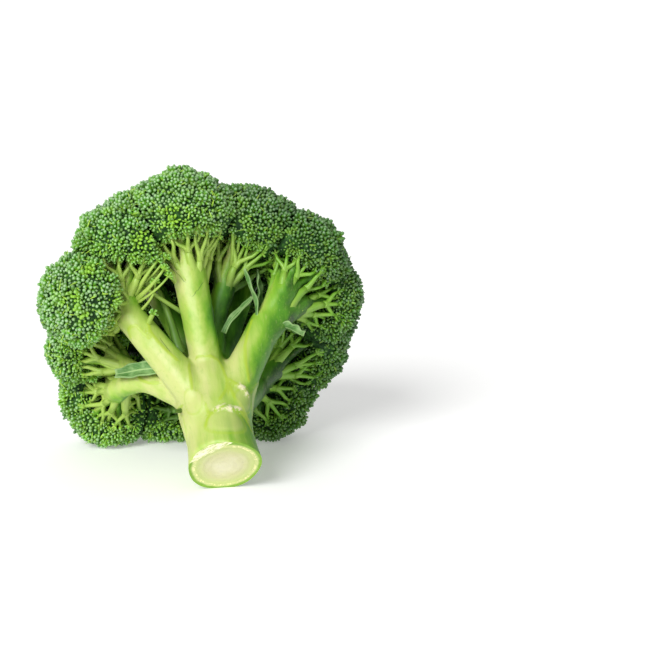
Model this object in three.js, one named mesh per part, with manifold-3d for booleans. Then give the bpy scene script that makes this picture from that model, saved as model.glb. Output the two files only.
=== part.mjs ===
// A head of broccoli, cut and trimmed for the kitchen, lying on a surface: it rests on the lower
// edge of its cut stalk and on two of its outer florets. One pale stalk branches into a limb for
// each floret, every limb fans out into ribs, and a lobed cap of flower buds sits on each fan.
// A few trimmed leaves stand in the forks. The caps press against each other, and each is trimmed
// where it meets its neighbours.
//
// The head is laid out as it grew, with the stalk upright: a place is given by its clock angle
// round the stalk (0 is the side that lies uppermost, and it runs clockwise as seen from the cut
// end), its spread from the stalk's axis and its height above the cut. The whole is then laid down.
// Millimetres and degrees, +Z up, with the origin under the middle of the head, on the surface.

import * as THREE from "three";
import { ConvexHull } from "three/addons/math/ConvexHull.js";
import { mergeVertices } from "three/addons/utils/BufferGeometryUtils.js";
import Module from "manifold-3d";

const wasm = await Module();
wasm.setup();

// The stalk and how it lies
const cutHalfWidth = 17.5;
const cutHalfDepth = 17;
const lieElevation = 35;
const lieYaw = 12;
const restPress = 0.7;
const capPress = 2.4;
const touchGap = 0.35;

// The trunk's girth as heights above the cut, each with a share of the cut's half-sizes
const trunkGirth = [
  [-4, 1.04],
  [0, 1],
  [13, 0.91],
  [25, 0.94],
  [38, 1.05],
  [50, 0.98],
  [62, 0.62],
];
const trunkSides = 20;
const ridgeCount = 5;
const ridgeSwell = 0.02;
const ridgePhase = 1.3;

// The slip of the knife that left a slanted edge on the cut
const slipClock = 325;
const slipSpread = 12.5;
const slipSlant = 38;

// How stems bend: the pull of a curve's ends, and how much a stem starts out upwards
const bendPull = 0.4;
const stemRise = 0.35;
const limbOverlap = 5;

// How a stem fans out below its cap, as shares of the cap's or the stem's radius
const forkDrop = 1.02;
const ribReach = 0.56;
const ribSink = 0.16;
const ribStart = 0.52;

// The ribs themselves, and how far a stem runs past the place where they part
const ribRootRadius = 3.5;
const ribTipRadius = 2.2;
const ribRootDepth = 3.5;
const ribFirstTurn = 0.25;
const ribSpread = 0.9;
const ribRise = 0.7;
const stemPast = 1.5;

// The caps: lobes are the large swellings, tufts the knobs of buds on them
const lobeCount = 8;
const lobeSwell = 0.07;
const lobeHalfAngle = 38;
const lobeEdge = 105;
const lobeScatter = 0.25;
const tuftPitch = 10.4;
const tuftRise = 1.4;
const tuftScatter = 0.08;
const meanSwell = 0.95;
const budEdge = 116;
const budEdgeBlend = 6;

// The shallow cup under a cap, and the knobs round its middle
const cupStart = 104;
const cupEnd = 152;
const cupDepth = 0.72;
const cupKnobs = 9;
const cupKnobLean = 143;

// The trimmed leaves: thickness, cupping, and how the width runs from root to tip
const leafThickness = 0.9;
const leafCurl = 0.16;
const leafEndWidth = 0.45;
const leafLift = 0.5;
const leafFullFrom = 0.15;
const leafFullRun = 0.8;

const degrees = THREE.MathUtils.degToRad;

// A place on the upright head: clock angle, spread from the axis and height above the cut.
function place(clock, spread, height) {
  const angle = degrees(clock);
  return new THREE.Vector3(spread * Math.sin(angle), -spread * Math.cos(angle), height);
}

// Limbs that carry more than one floret, from the stalk to where they part. The rise says how much
// each starts out upwards.
const limbs = {
  left: { root: place(314, 6.5, 31), end: place(301.5, 44.5, 77.5), rise: 0.1, radius: 9, endRadius: 7.2 },
  right: { root: place(40, 8, 24), end: place(55, 36, 73.5), rise: 0.55, radius: 10, endRadius: 7.8 },
  lowerLeft: { root: place(268, 6, 34), end: place(265.5, 28.5, 57.5), rise: 0.5, radius: 7, endRadius: 5.8 },
  lowerRight: { root: place(130, 6, 28), end: place(126, 30, 64), rise: 0.5, radius: 9.5, endRadius: 8 },
};

// Each floret's cap: its middle and radius, the limb or the place its stem grows from, the stem's
// radius at its root and at its tip and how many ribs fan out from it. A fork says where the ribs
// part, if not straight below the cap.
const florets = [
  {
    name: "top",
    at: place(347.5, 48.5, 113.5),
    radius: 29,
    root: place(0, 0, 30),
    fork: place(348, 38, 93),
    thick: 7.4,
    tip: 8.6,
    ribs: 5,
  },
  {
    name: "top_right",
    at: place(35, 43, 117.5),
    radius: 26.5,
    root: place(0, 0, 44),
    fork: place(28, 28, 99),
    thick: 5.8,
    tip: 5.6,
    ribs: 5,
  },
  {
    name: "right_upper",
    at: place(59, 57, 104),
    radius: 25,
    limb: "right",
    fork: place(54.5, 47, 84.5),
    thick: 6.6,
    tip: 6.8,
    ribs: 5,
  },
  {
    name: "right",
    at: place(84, 61, 98),
    radius: 24,
    root: place(50, 22, 50),
    fork: place(68, 51, 84),
    thick: 6.4,
    tip: 6,
    ribs: 4,
  },
  {
    name: "right_lower",
    at: place(113, 60, 95),
    radius: 25,
    limb: "lowerRight",
    thick: 6.6,
    tip: 6,
    ribs: 4,
  },
  {
    name: "foot_right",
    at: place(140, 57, 84),
    radius: 26,
    limb: "lowerRight",
    thick: 7.2,
    tip: 6.6,
    ribs: 4,
    rests: true,
  },
  { name: "under", at: place(192, 51, 89), radius: 25.5, root: place(0, 0, 34), thick: 7.6, tip: 7, ribs: 4 },
  {
    name: "foot_left",
    at: place(222.5, 63, 88),
    radius: 26.5,
    limb: "lowerLeft",
    fork: place(248, 45.5, 65.5),
    thick: 5.4,
    tip: 5.2,
    ribs: 6,
    rests: true,
  },
  {
    name: "left_lower",
    at: place(253, 55.5, 95),
    radius: 23.5,
    limb: "lowerLeft",
    thick: 5,
    tip: 5,
    ribs: 4,
  },
  {
    name: "left",
    at: place(295, 63, 85),
    radius: 25,
    limb: "left",
    fork: place(295, 50.5, 84),
    thick: 6.2,
    tip: 6,
    ribs: 5,
  },
  {
    name: "left_upper",
    at: place(318, 55, 106),
    radius: 26,
    limb: "left",
    fork: place(308.5, 49, 90.5),
    thick: 6.2,
    tip: 6.2,
    ribs: 5,
  },
  {
    name: "crown_right",
    at: place(78, 33, 129),
    radius: 25,
    root: place(0, 0, 46),
    thick: 6.6,
    tip: 6,
    ribs: 3,
  },
  {
    name: "crown_back_right",
    at: place(143, 35, 126),
    radius: 27,
    root: place(0, 0, 44),
    thick: 6.6,
    tip: 6,
    ribs: 3,
  },
  {
    name: "crown_back_left",
    at: place(212, 34, 126),
    radius: 26.5,
    root: place(0, 0, 44),
    thick: 6.6,
    tip: 6,
    ribs: 3,
  },
  {
    name: "crown_left",
    at: place(292, 31, 130),
    radius: 25,
    root: place(0, 0, 46),
    thick: 6.2,
    tip: 5.6,
    ribs: 3,
  },
  {
    name: "crown_middle",
    at: place(0, 1, 139),
    radius: 27.5,
    root: place(0, 0, 50),
    thick: 7.2,
    tip: 6.6,
    ribs: 3,
  },
];

// The scars that cut leaves left on the stalk: low oval pads, each with its place and half-sizes.
const scars = [
  { at: place(337, 13.5, 30), wide: 6.5, tall: 9.5, deep: 4.2 },
  { at: place(20, 13, 25), wide: 7.5, tall: 10, deep: 4.4 },
  { at: place(350, 14, 47), wide: 8.5, tall: 13, deep: 5 },
  { at: place(52, 13.5, 38), wide: 7.5, tall: 11, deep: 4.6 },
  { at: place(290, 14, 24), wide: 7, tall: 9, deep: 3.4 },
  { at: place(135, 14.5, 26), wide: 9, tall: 12, deep: 4 },
  { at: place(215, 14.5, 34), wide: 9, tall: 12, deep: 4 },
];

// The trimmed leaves, each from its root to its tip, with its greatest width.
const leaves = [
  {
    name: "left",
    root: place(287, 25.5, 56),
    tip: place(266, 44.5, 63.5),
    wide: 7.5,
    face: place(335, 1, -0.3),
  },
  { name: "fork", root: place(44, 32, 70), tip: place(27, 42, 92), wide: 4.6, face: place(90, 1, 0) },
  { name: "fork_inner", root: place(54, 31, 82), tip: place(46, 39, 101), wide: 5.6, face: place(60, 1, 0) },
  { name: "sliver", root: place(23, 19.5, 68), tip: place(44, 34, 85), wide: 3.6, face: place(330, 1, 0) },
  { name: "right", root: place(58, 41, 67), tip: place(66, 50, 62), wide: 7, face: place(0, 0.3, 1) },
];

// The head's lie: its own axes turned so that the stalk points back and up, resting on its cut end.
const lie = new THREE.Matrix4()
  .makeTranslation(0, 0, cutHalfDepth * Math.cos(degrees(lieElevation)) - restPress)
  .multiply(new THREE.Matrix4().makeRotationZ(degrees(lieYaw)))
  .multiply(new THREE.Matrix4().makeRotationX(degrees(lieElevation - 90)));

const upward = new THREE.Vector3(0, 0, 1);

// A repeatable stream of numbers from 0 to 1.
function seeded(seed) {
  let state = seed;
  return () => {
    state = (state + 0x6d2b79f5) | 0;
    let mixed = Math.imul(state ^ (state >>> 15), 1 | state);
    mixed = (mixed + Math.imul(mixed ^ (mixed >>> 7), 61 | mixed)) ^ mixed;
    return ((mixed ^ (mixed >>> 14)) >>> 0) / 4294967296;
  };
}

// A closed geometry as a solid for joining and cutting.
function toSolid(geometry) {
  const bare = new THREE.BufferGeometry().setAttribute("position", geometry.getAttribute("position"));
  if (geometry.index) bare.setIndex(geometry.index);
  const merged = mergeVertices(bare, 1e-4);
  return new wasm.Manifold(
    new wasm.Mesh({
      numProp: 3,
      vertProperties: merged.attributes.position.array,
      triVerts: new Uint32Array(merged.index.array),
    }),
  );
}

// A solid as a named mesh.
function toMesh(solid, name, material) {
  const made = solid.getMesh();
  const geometry = new THREE.BufferGeometry();
  geometry.setAttribute("position", new THREE.BufferAttribute(new Float32Array(made.vertProperties), 3));
  geometry.setIndex(new THREE.BufferAttribute(new Uint32Array(made.triVerts), 1));
  geometry.computeVertexNormals();
  const mesh = new THREE.Mesh(geometry, material);
  mesh.name = name;
  return mesh;
}

// The largest body of a solid, without scraps that a cut left loose.
function largest(solid) {
  return solid.decompose().sort((a, b) => b.volume() - a.volume())[0];
}

// A value part of the way from one to another.
function between(first, last, share) {
  return first + (last - first) * share;
}

// A curve that leaves along one direction and arrives along another.
function bend(start, leave, end, arrive) {
  const pull = start.distanceTo(end) * bendPull;
  return new THREE.CubicBezierCurve3(
    start,
    start.clone().addScaledVector(leave, pull),
    end.clone().addScaledVector(arrive, -pull),
    end,
  );
}

// A tapered round stem along a curve, laid down with the head.
function stem(curve, rootRadius, tipRadius, sides, steps) {
  const tube = new THREE.CylinderGeometry(1, 1, 1, sides, steps);
  const frames = curve.computeFrenetFrames(steps);
  const points = curve.getSpacedPoints(steps);
  const position = tube.attributes.position;
  const moved = new THREE.Vector3();
  for (let i = 0; i < position.count; i++) {
    const share = position.getY(i) + 0.5;
    const step = Math.round(share * steps);
    const radius = between(rootRadius, tipRadius, share);
    moved
      .copy(points[step])
      .addScaledVector(frames.normals[step], position.getX(i) * radius)
      .addScaledVector(frames.binormals[step], -position.getZ(i) * radius)
      .applyMatrix4(lie);
    position.setXYZ(i, moved.x, moved.y, moved.z);
  }
  return toSolid(tube);
}

// Where a floret's stem starts and how it leaves, where its ribs part and which way its cap faces.
function growth(floret) {
  const limb = limbs[floret.limb];
  const root = limb ? limb.end : floret.root;
  const facing = floret.at.clone().sub(floret.fork ?? root).normalize();
  const fork = floret.fork ?? floret.at.clone().addScaledVector(facing, -forkDrop * floret.radius);
  const leave = limb ? limb.end.clone().sub(limb.root) : fork.clone().sub(root);
  leave.normalize().lerp(upward, limb ? 0 : stemRise).normalize();
  const start = root.clone().addScaledVector(leave, limb ? -limbOverlap : 0);
  return { facing, fork, leave, start };
}

// The stem of one floret and the ribs that fan out from it into its cap.
function floretStem(floret, grow) {
  const { facing, fork, leave, start } = growth(floret);
  const across = new THREE.Vector3().crossVectors(facing, upward).normalize();
  const along = new THREE.Vector3().crossVectors(facing, across);
  const top = fork.clone().addScaledVector(facing, stemPast);
  const parts = [stem(bend(start, leave, top, facing), grow + floret.thick, grow + floret.tip, 8, 3)];
  for (let rib = 0; rib < floret.ribs; rib++) {
    const turn = ((rib + ribFirstTurn) / floret.ribs) * 2 * Math.PI;
    const outward = across.clone().multiplyScalar(Math.cos(turn)).addScaledVector(along, Math.sin(turn));
    const from = fork
      .clone()
      .addScaledVector(facing, -ribRootDepth)
      .addScaledVector(outward, floret.tip * ribStart);
    const to = floret.at
      .clone()
      .addScaledVector(facing, -ribSink * floret.radius)
      .addScaledVector(outward, ribReach * floret.radius);
    const arrive = facing.clone().multiplyScalar(ribRise).addScaledVector(outward, ribSpread).normalize();
    const sides = floret.ribs > 4 ? 5 : 4;
    parts.push(stem(bend(from, facing, to, arrive), grow + ribRootRadius, grow + ribTipRadius, sides, 2));
  }
  return parts;
}

// The trunk, turned from its girth, a little flattened and with low ridges down its sides.
function trunkSolid(grow) {
  const girth = new THREE.SplineCurve(trunkGirth.map(([height, share]) => new THREE.Vector2(share, height)));
  const turned = girth.getPoints(8).map((point) => new THREE.Vector2(cutHalfWidth * point.x + grow, point.y));
  turned.unshift(new THREE.Vector2(0, turned[0].y));
  turned.push(new THREE.Vector2(0, turned[turned.length - 1].y));
  const trunk = new THREE.LatheGeometry(turned, trunkSides).rotateX(Math.PI / 2);
  const position = trunk.attributes.position;
  for (let i = 0; i < position.count; i++) {
    const angle = Math.atan2(position.getY(i), position.getX(i));
    const ridged = 1 + ridgeSwell * Math.cos(ridgeCount * angle + ridgePhase);
    position.setX(i, position.getX(i) * ridged);
    position.setY(i, position.getY(i) * ridged * (cutHalfDepth / cutHalfWidth));
  }
  return toSolid(trunk.applyMatrix4(lie));
}

// One scar's pad: an oval that stands out of the trunk.
function scarSolid(scar, grow) {
  const outward = new THREE.Vector3(scar.at.x, scar.at.y, 0).normalize();
  const side = new THREE.Vector3().crossVectors(upward, outward);
  const axes = new THREE.Matrix4().makeBasis(
    side.multiplyScalar(scar.wide + grow),
    outward.multiplyScalar(scar.deep + grow),
    upward.clone().multiplyScalar(-(scar.tall + grow)),
  );
  const pad = new THREE.SphereGeometry(1, 8, 6).applyMatrix4(axes).translate(scar.at.x, scar.at.y, scar.at.z);
  return toSolid(pad.applyMatrix4(lie));
}

// A limb that carries several florets.
function limbSolid(limb, grow) {
  const reach = limb.end.clone().sub(limb.root).normalize();
  const leave = reach.clone().lerp(upward, limb.rise).normalize();
  return stem(bend(limb.root, leave, limb.end, reach), grow + limb.radius, grow + limb.endRadius, 11, 4);
}

// The whole stalk: trunk, scars, limbs and ribs, cut square across at its foot. Growing it by the
// touching gap gives the room that the caps and leaves leave round it.
function stalkSolid(grow) {
  const parts = [trunkSolid(grow)];
  for (const scar of scars) parts.push(scarSolid(scar, grow));
  for (const limb of Object.values(limbs)) parts.push(limbSolid(limb, grow));
  for (const floret of florets) parts.push(...floretStem(floret, grow));
  const axis = new THREE.Vector3(0, 0, 1).transformDirection(lie);
  const foot = new THREE.Vector3().setFromMatrixPosition(lie);
  const slip = place(slipClock, -Math.sin(degrees(slipSlant)), Math.cos(degrees(slipSlant)));
  slip.transformDirection(lie);
  const slipEdge = place(slipClock, slipSpread, 0).applyMatrix4(lie);
  return largest(
    wasm.Manifold.union(parts)
      .trimByPlane(axis.toArray(), axis.dot(foot) - grow)
      .trimByPlane(slip.toArray(), slip.dot(slipEdge) - grow)
      .trimByPlane([0, 0, 1], 0),
  );
}

// Evenly spread directions from the pole (+Z) down to a limit angle, each a little scattered.
function spreadDirections(count, limit, random, scatter) {
  const golden = Math.PI * (3 - Math.sqrt(5));
  const lowest = Math.cos(degrees(limit));
  const directions = [];
  for (let i = 0; i < count; i++) {
    const rise = 1 - ((i + 0.5) / count) * (1 - lowest);
    const ring = Math.sqrt(1 - rise * rise);
    const turn = i * golden;
    const direction = new THREE.Vector3(ring * Math.cos(turn), ring * Math.sin(turn), rise);
    direction.x += scatter * (random() - 0.5);
    direction.y += scatter * (random() - 0.5);
    direction.z += scatter * (random() - 0.5);
    directions.push(direction.normalize());
  }
  return directions;
}

// The directions of a cap's tufts, with a ring of knobs and one in the middle of its cup.
function tuftDirections(floret, random) {
  const coveredArea = 2 * Math.PI * (1 - Math.cos(degrees(budEdge))) * (meanSwell * floret.radius) ** 2;
  const tuftCount = Math.round(coveredArea / ((Math.sqrt(3) / 2) * tuftPitch * tuftPitch));
  const tufts = spreadDirections(tuftCount, budEdge, random, tuftScatter);
  const ring = Math.sin(degrees(cupKnobLean));
  for (let i = 0; i < cupKnobs; i++) {
    const turn = ((i + 0.5 * random()) / cupKnobs) * 2 * Math.PI;
    const knob = new THREE.Vector3(ring * Math.cos(turn), ring * Math.sin(turn), 0);
    tufts.push(knob.setZ(Math.cos(degrees(cupKnobLean))));
  }
  tufts.push(new THREE.Vector3(0.02, 0.01, -1).normalize());
  return tufts;
}

// The cap of buds of one floret, as a star of directions round its middle: lobes swell it, tufts
// stud it down to the rim, and below the rim it is drawn in to a shallow cup over the ribs.
function capSolid(floret, seed, middle) {
  const random = seeded(seed);
  const lobes = spreadDirections(lobeCount, lobeEdge, random, lobeScatter);
  const tufts = tuftDirections(floret, random);
  const radiusAlong = (direction) => {
    let swell = 0;
    for (const lobe of lobes) {
      const off = lobe.angleTo(direction) / degrees(lobeHalfAngle);
      swell = Math.max(swell, Math.sqrt(Math.max(0, 1 - off * off)));
    }
    const lean = THREE.MathUtils.radToDeg(Math.acos(THREE.MathUtils.clamp(direction.z, -1, 1)));
    const cup = THREE.MathUtils.smoothstep(lean, cupStart, cupEnd);
    return floret.radius * (1 - lobeSwell + lobeSwell * swell) * (1 - cupDepth * cup);
  };
  const turnToFace = new THREE.Quaternion().setFromUnitVectors(upward, growth(floret).facing);
  const onSurface = (direction, rise) => {
    const studded = direction.z > Math.cos(degrees(budEdge + budEdgeBlend)) ? rise : 0;
    return direction
      .clone()
      .multiplyScalar(radiusAlong(direction) + studded)
      .applyQuaternion(turnToFace)
      .add(middle)
      .applyMatrix4(lie);
  };
  const hull = new ConvexHull().setFromPoints(tufts);
  const valley = (face) => onSurface(face.normal.clone().normalize(), -tuftRise);
  const valleys = new Map(hull.faces.map((face) => [face, valley(face)]));
  const peaks = new Map(tufts.map((tuft) => [tuft, onSurface(tuft, tuftRise)]));
  const corners = [];
  for (const face of hull.faces) {
    let edge = face.edge;
    do {
      corners.push(peaks.get(edge.head().point), valleys.get(face), valleys.get(edge.twin.face));
      edge = edge.next;
    } while (edge !== face.edge);
  }
  return toSolid(new THREE.BufferGeometry().setFromPoints(corners));
}

// Lowers or raises a resting cap's middle until its lowest knob presses slightly into the surface.
function settledMiddle(floret, seed) {
  if (!floret.rests) return floret.at;
  const low = capSolid(floret, seed, floret.at).boundingBox().min[2];
  const drop = new THREE.Vector3(0, 0, -(low + capPress));
  return floret.at.clone().add(drop.applyMatrix4(new THREE.Matrix4().extractRotation(lie).invert()));
}

// Trims a cap where it would press into its neighbours, along the plane where their spheres cross.
function trimToNeighbours(solid, index, middles) {
  const own = middles[index].clone().applyMatrix4(lie);
  let trimmed = solid;
  florets.forEach((other, k) => {
    if (k === index) return;
    const toward = middles[k].clone().applyMatrix4(lie).sub(own);
    const apart = toward.length();
    const sum = florets[index].radius + other.radius + 2 * tuftRise;
    if (apart >= sum) return;
    toward.normalize();
    const share = (apart * apart + florets[index].radius ** 2 - other.radius ** 2) / (2 * apart);
    const keep = toward.clone().negate();
    trimmed = trimmed.trimByPlane(keep.toArray(), keep.dot(own) - share + touchGap / 2);
  });
  return trimmed;
}

// A thin trimmed leaf along a curve, cupped across its width and clear of the stalk.
function leafSolid(leaf, room) {
  const blade = new THREE.BoxGeometry(1, 1, 1, 2, 1, 5);
  const reach = leaf.tip.clone().sub(leaf.root).normalize();
  const leave = reach.clone().addScaledVector(leaf.face, leafLift).normalize();
  const curve = bend(leaf.root, leave, leaf.tip, reach);
  const position = blade.attributes.position;
  const point = new THREE.Vector3();
  for (let i = 0; i < position.count; i++) {
    const share = position.getZ(i) + 0.5;
    const run = curve.getTangent(share);
    const side = new THREE.Vector3().crossVectors(leaf.face, run).normalize();
    const front = new THREE.Vector3().crossVectors(run, side);
    const fullness = Math.sin(Math.PI * Math.min(1, leafFullFrom + share * leafFullRun));
    const width = leaf.wide * between(leafEndWidth, 1, fullness);
    const across = position.getX(i);
    curve.getPoint(share, point);
    point.addScaledVector(side, across * width);
    point.addScaledVector(front, position.getY(i) * leafThickness + leafCurl * leaf.wide * (2 * across) ** 2);
    point.applyMatrix4(lie);
    position.setXYZ(i, point.x, point.y, point.z);
  }
  return largest(toSolid(blade).subtract(room));
}

const stalkMaterial = new THREE.MeshStandardMaterial({ color: 0xb4cf6a, roughness: 0.45, metalness: 0 });
const budMaterial = new THREE.MeshStandardMaterial({ color: 0x3f6b3a, roughness: 0.75, metalness: 0 });
const leafMaterial = new THREE.MeshStandardMaterial({ color: 0x4f8a78, roughness: 0.6, metalness: 0 });

const stalk = stalkSolid(0);
const stalkRoom = stalkSolid(touchGap);
const middles = florets.map((floret, index) => settledMiddle(floret, index + 1));
const caps = florets.map((floret, index) => {
  const whole = capSolid(floret, index + 1, middles[index]);
  return largest(trimToNeighbours(whole, index, middles).subtract(stalkRoom).trimByPlane([0, 0, 1], 0));
});

const head = new THREE.Group();
head.add(toMesh(stalk, "stalk", stalkMaterial));
caps.forEach((cap, index) => head.add(toMesh(cap, "floret_" + florets[index].name, budMaterial)));
for (const leaf of leaves) head.add(toMesh(leafSolid(leaf, stalkRoom), "leaf_" + leaf.name, leafMaterial));

// The origin goes under the middle of the head.
const bounds = new THREE.Box3().setFromObject(head);
head.position.set(-(bounds.min.x + bounds.max.x) / 2, -(bounds.min.y + bounds.max.y) / 2, 0);

export default head;
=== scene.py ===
"""A cut head of broccoli lying on a pale surface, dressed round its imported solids.

The head is laid out as it grew, with the stalk upright: a place is a clock angle round the stalk,
a spread from its axis and a height above the cut, in millimetres. A Lie turns such places into the
frame's metres. Everything else is in metres.
"""

import logging
import math
from dataclasses import dataclass, field
from enum import Enum
from typing import Any, Iterable, Optional, Sequence

import bmesh
import bpy
import numpy as np
from mathutils import Matrix, Vector
from mathutils.bvhtree import BVHTree


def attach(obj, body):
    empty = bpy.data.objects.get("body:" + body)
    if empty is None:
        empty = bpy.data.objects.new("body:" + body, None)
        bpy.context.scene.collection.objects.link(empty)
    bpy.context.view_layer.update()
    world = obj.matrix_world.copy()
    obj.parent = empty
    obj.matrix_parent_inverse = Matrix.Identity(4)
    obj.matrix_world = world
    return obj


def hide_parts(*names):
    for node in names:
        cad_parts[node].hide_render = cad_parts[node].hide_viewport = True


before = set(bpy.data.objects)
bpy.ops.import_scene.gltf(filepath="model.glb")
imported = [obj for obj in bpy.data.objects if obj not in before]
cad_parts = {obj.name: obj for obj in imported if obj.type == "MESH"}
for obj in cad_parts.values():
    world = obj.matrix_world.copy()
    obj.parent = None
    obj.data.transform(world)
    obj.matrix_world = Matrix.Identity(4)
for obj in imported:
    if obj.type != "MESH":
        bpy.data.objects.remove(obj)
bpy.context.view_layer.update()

LOG = logging.getLogger("broccoli")
BODY = "root"
MM = 0.001
TINY = 1e-12

# No bud or thin stem comes nearer to the surface than this.
LOWEST = 0.15 * MM
# The least distance between two buds.
BUD_PITCH = 1.6 * MM
# How far below a bud's seat its neck ends, in heights of its head.
NECK_END = -1.1
# The turn between two neighbours of an even spiral.
GOLDEN_TURN = math.pi * (3 - math.sqrt(5))

Place = tuple[float, float, float]
Hub = tuple[np.ndarray, np.ndarray]
Colour = tuple[float, float, float]
Stops = Sequence[tuple[float, Colour]]


class Slot(Enum):
    """The record's material slots."""

    STALK = "stalk"
    BUDS = "buds"
    LEAF = "leaf"


@dataclass(frozen=True)
class Lie:
    """How the upright head is laid down: its stalk points back and up from the cut end.

    Attributes:
        foot: the middle of the cut end, in metres.
        elevation: how far the stalk rises from the surface, in degrees.
        yaw: how far the head is turned to the left, in degrees.
    """

    foot: Vector = field(default_factory=lambda: Vector((0.01287, -0.06952, 0.01323)))
    elevation: float = 35.0
    yaw: float = 12.0

    @property
    def turn(self) -> Matrix:
        """The turn from the upright head to the lying one."""
        yaw = Matrix.Rotation(math.radians(self.yaw), 3, "Z")
        return yaw @ Matrix.Rotation(math.radians(self.elevation - 90), 3, "X")

    @property
    def axis(self) -> Vector:
        """The direction that the stalk grows in."""
        return self.turn @ Vector((0, 0, 1))

    def upright(self, place: Place) -> Vector:
        """A place as a point of the upright head, in metres.

        Args:
            place: clock angle, spread and height.

        Returns:
            The point, with the stalk along +Z and the cut's middle at the origin.
        """
        clock, spread, height = place
        angle = math.radians(clock)
        return Vector((spread * math.sin(angle), -spread * math.cos(angle), height)) * MM

    def at(self, place: Place) -> Vector:
        """A place as a point of the lying head, in metres.

        Args:
            place: clock angle, spread and height.

        Returns:
            The point in the frame.
        """
        return self.foot + self.turn @ self.upright(place)

    def local(self, points: np.ndarray) -> np.ndarray:
        """Points of the lying head as points of the upright one.

        Args:
            points: one row for each point, in the frame.

        Returns:
            One row for each point, upright, in metres.
        """
        return (points - np.array(self.foot)) @ np.array(self.turn)


LIE = Lie()
# The inner point of the head that crowded clusters are moved away from.
HEART = np.array(LIE.at((0, 0, 86)))


def new_object(name: str, mesh: bpy.types.Mesh) -> bpy.types.Object:
    """Links a new object that holds the mesh, at the origin."""
    made = bpy.data.objects.new(name, mesh)
    bpy.context.scene.collection.objects.link(made)
    return made


def to_mesh(source: bmesh.types.BMesh, name: str, smooth: bool = True) -> bpy.types.Mesh:
    """Writes a bmesh to a new mesh and frees it.

    Args:
        source: the bmesh, which can't be used afterwards.
        name: the new mesh's name.
        smooth: whether its faces are shaded smooth.

    Returns:
        The new mesh.
    """
    for face in source.faces:
        face.smooth = smooth
    mesh = bpy.data.meshes.new(name)
    source.to_mesh(mesh)
    source.free()
    return mesh


def merged_copy(node: str) -> bmesh.types.BMesh:
    """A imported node's mesh as a bmesh with its corners joined."""
    copy = bmesh.new()
    copy.from_mesh(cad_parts[node].data)
    bmesh.ops.remove_doubles(copy, verts=copy.verts, dist=1e-6)
    return copy


def remeshed(source: bmesh.types.BMesh, voxel: float) -> bmesh.types.BMesh:
    """Rebuilds a closed bmesh from even quads, and frees it.

    Args:
        source: the closed shape.
        voxel: the side of a quad, in metres.

    Returns:
        The new bmesh.
    """
    rough = new_object("rough", to_mesh(source, "rough"))
    modifier = rough.modifiers.new("even", "REMESH")
    modifier.mode = "VOXEL"
    modifier.voxel_size = voxel
    modifier.adaptivity = 0.0
    graph = bpy.context.evaluated_depsgraph_get()
    mesh = bpy.data.meshes.new_from_object(rough.evaluated_get(graph))
    even = bmesh.new()
    even.from_mesh(mesh)
    bpy.data.objects.remove(rough)
    bpy.data.meshes.remove(mesh)
    return even


def smoothed(shape: bmesh.types.BMesh, rounds: int, swell: float = 0.0) -> None:
    """Smooths a bmesh in place, and swells it back to its girth.

    Args:
        shape: the bmesh.
        rounds: how often each corner moves half way to its neighbours' middle.
        swell: how far each corner then moves outwards, in metres.
    """
    for _ in range(rounds):
        bmesh.ops.smooth_vert(
            shape, verts=shape.verts, factor=0.5, use_axis_x=True, use_axis_y=True, use_axis_z=True
        )
    shape.normal_update()
    for corner in shape.verts:
        corner.co += corner.normal * swell


def between(values: Any, start: float, end: float) -> Any:
    """How far numbers are on the way from start to end, from 0 to 1."""
    return np.clip((values - start) / (end - start), 0.0, 1.0)


def read_vectors(items: Any, name: str) -> np.ndarray:
    """A mesh's own vectors, one row for each."""
    values = np.empty(len(items) * 3)
    items.foreach_get(name, values)
    return values.reshape(-1, 3)


def write_numbers(mesh: bpy.types.Mesh, name: str, values: np.ndarray) -> None:
    """Keeps a number for each corner of a mesh, under a name that its material reads."""
    mesh.attributes.new(name, "FLOAT", "POINT").data.foreach_set("value", values)


def finish_piece(
    piece: bpy.types.Object,
    materials: Sequence[bpy.types.Material],
    stands_for: Sequence[str] = (),
) -> bpy.types.Object:
    """Gives a piece its materials and its place on the body.

    Args:
        piece: the object.
        materials: its materials, in the order of its faces' indices.
        stands_for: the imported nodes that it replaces.

    Returns:
        The same object.
    """
    for material in materials:
        piece.data.materials.append(material)
    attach(piece, BODY)
    if stands_for:
        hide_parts(*stands_for)
    LOG.info("%s: %d faces", piece.name, len(piece.data.polygons))
    return piece


class Value:
    """A number socket of a material, for writing shader maths as expressions."""

    def __init__(self, paint: "Paint", socket: bpy.types.NodeSocket) -> None:
        """Wraps a socket of that paint's nodes."""
        self.paint = paint
        self.socket = socket

    def math(self, operation: str, *others: Any, first: Any = None) -> "Value":
        """Adds a Math node.

        Args:
            operation: the Math node's operation.
            others: the values after this one.
            first: a value that takes this one's place, which then comes second.

        Returns:
            The node's result.
        """
        values = (self, *others) if first is None else (first, self, *others)
        return self.paint.node("ShaderNodeMath", {"operation": operation}, *values).value(0)

    def __add__(self, other: Any) -> "Value":
        """self + other"""
        return self.math("ADD", other)

    __radd__ = __add__

    def __sub__(self, other: Any) -> "Value":
        """self - other"""
        return self.math("SUBTRACT", other)

    def __rsub__(self, other: Any) -> "Value":
        """other - self"""
        return self.math("SUBTRACT", first=other)

    def __mul__(self, other: Any) -> "Value":
        """self * other"""
        return self.math("MULTIPLY", other)

    __rmul__ = __mul__

    def __truediv__(self, other: Any) -> "Value":
        """self / other"""
        return self.math("DIVIDE", other)

    def __pow__(self, other: Any) -> "Value":
        """self ** other"""
        return self.math("POWER", other)

    def root(self) -> "Value":
        """The square root."""
        return self.math("SQRT")

    def between(self, low: float, high: float) -> "Value":
        """A smooth step: 0 below low, 1 above high."""
        settings = {"interpolation_type": "SMOOTHSTEP", "clamp": True}
        return self.paint.node("ShaderNodeMapRange", settings, self, low, high, 0.0, 1.0).value(0)


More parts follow.
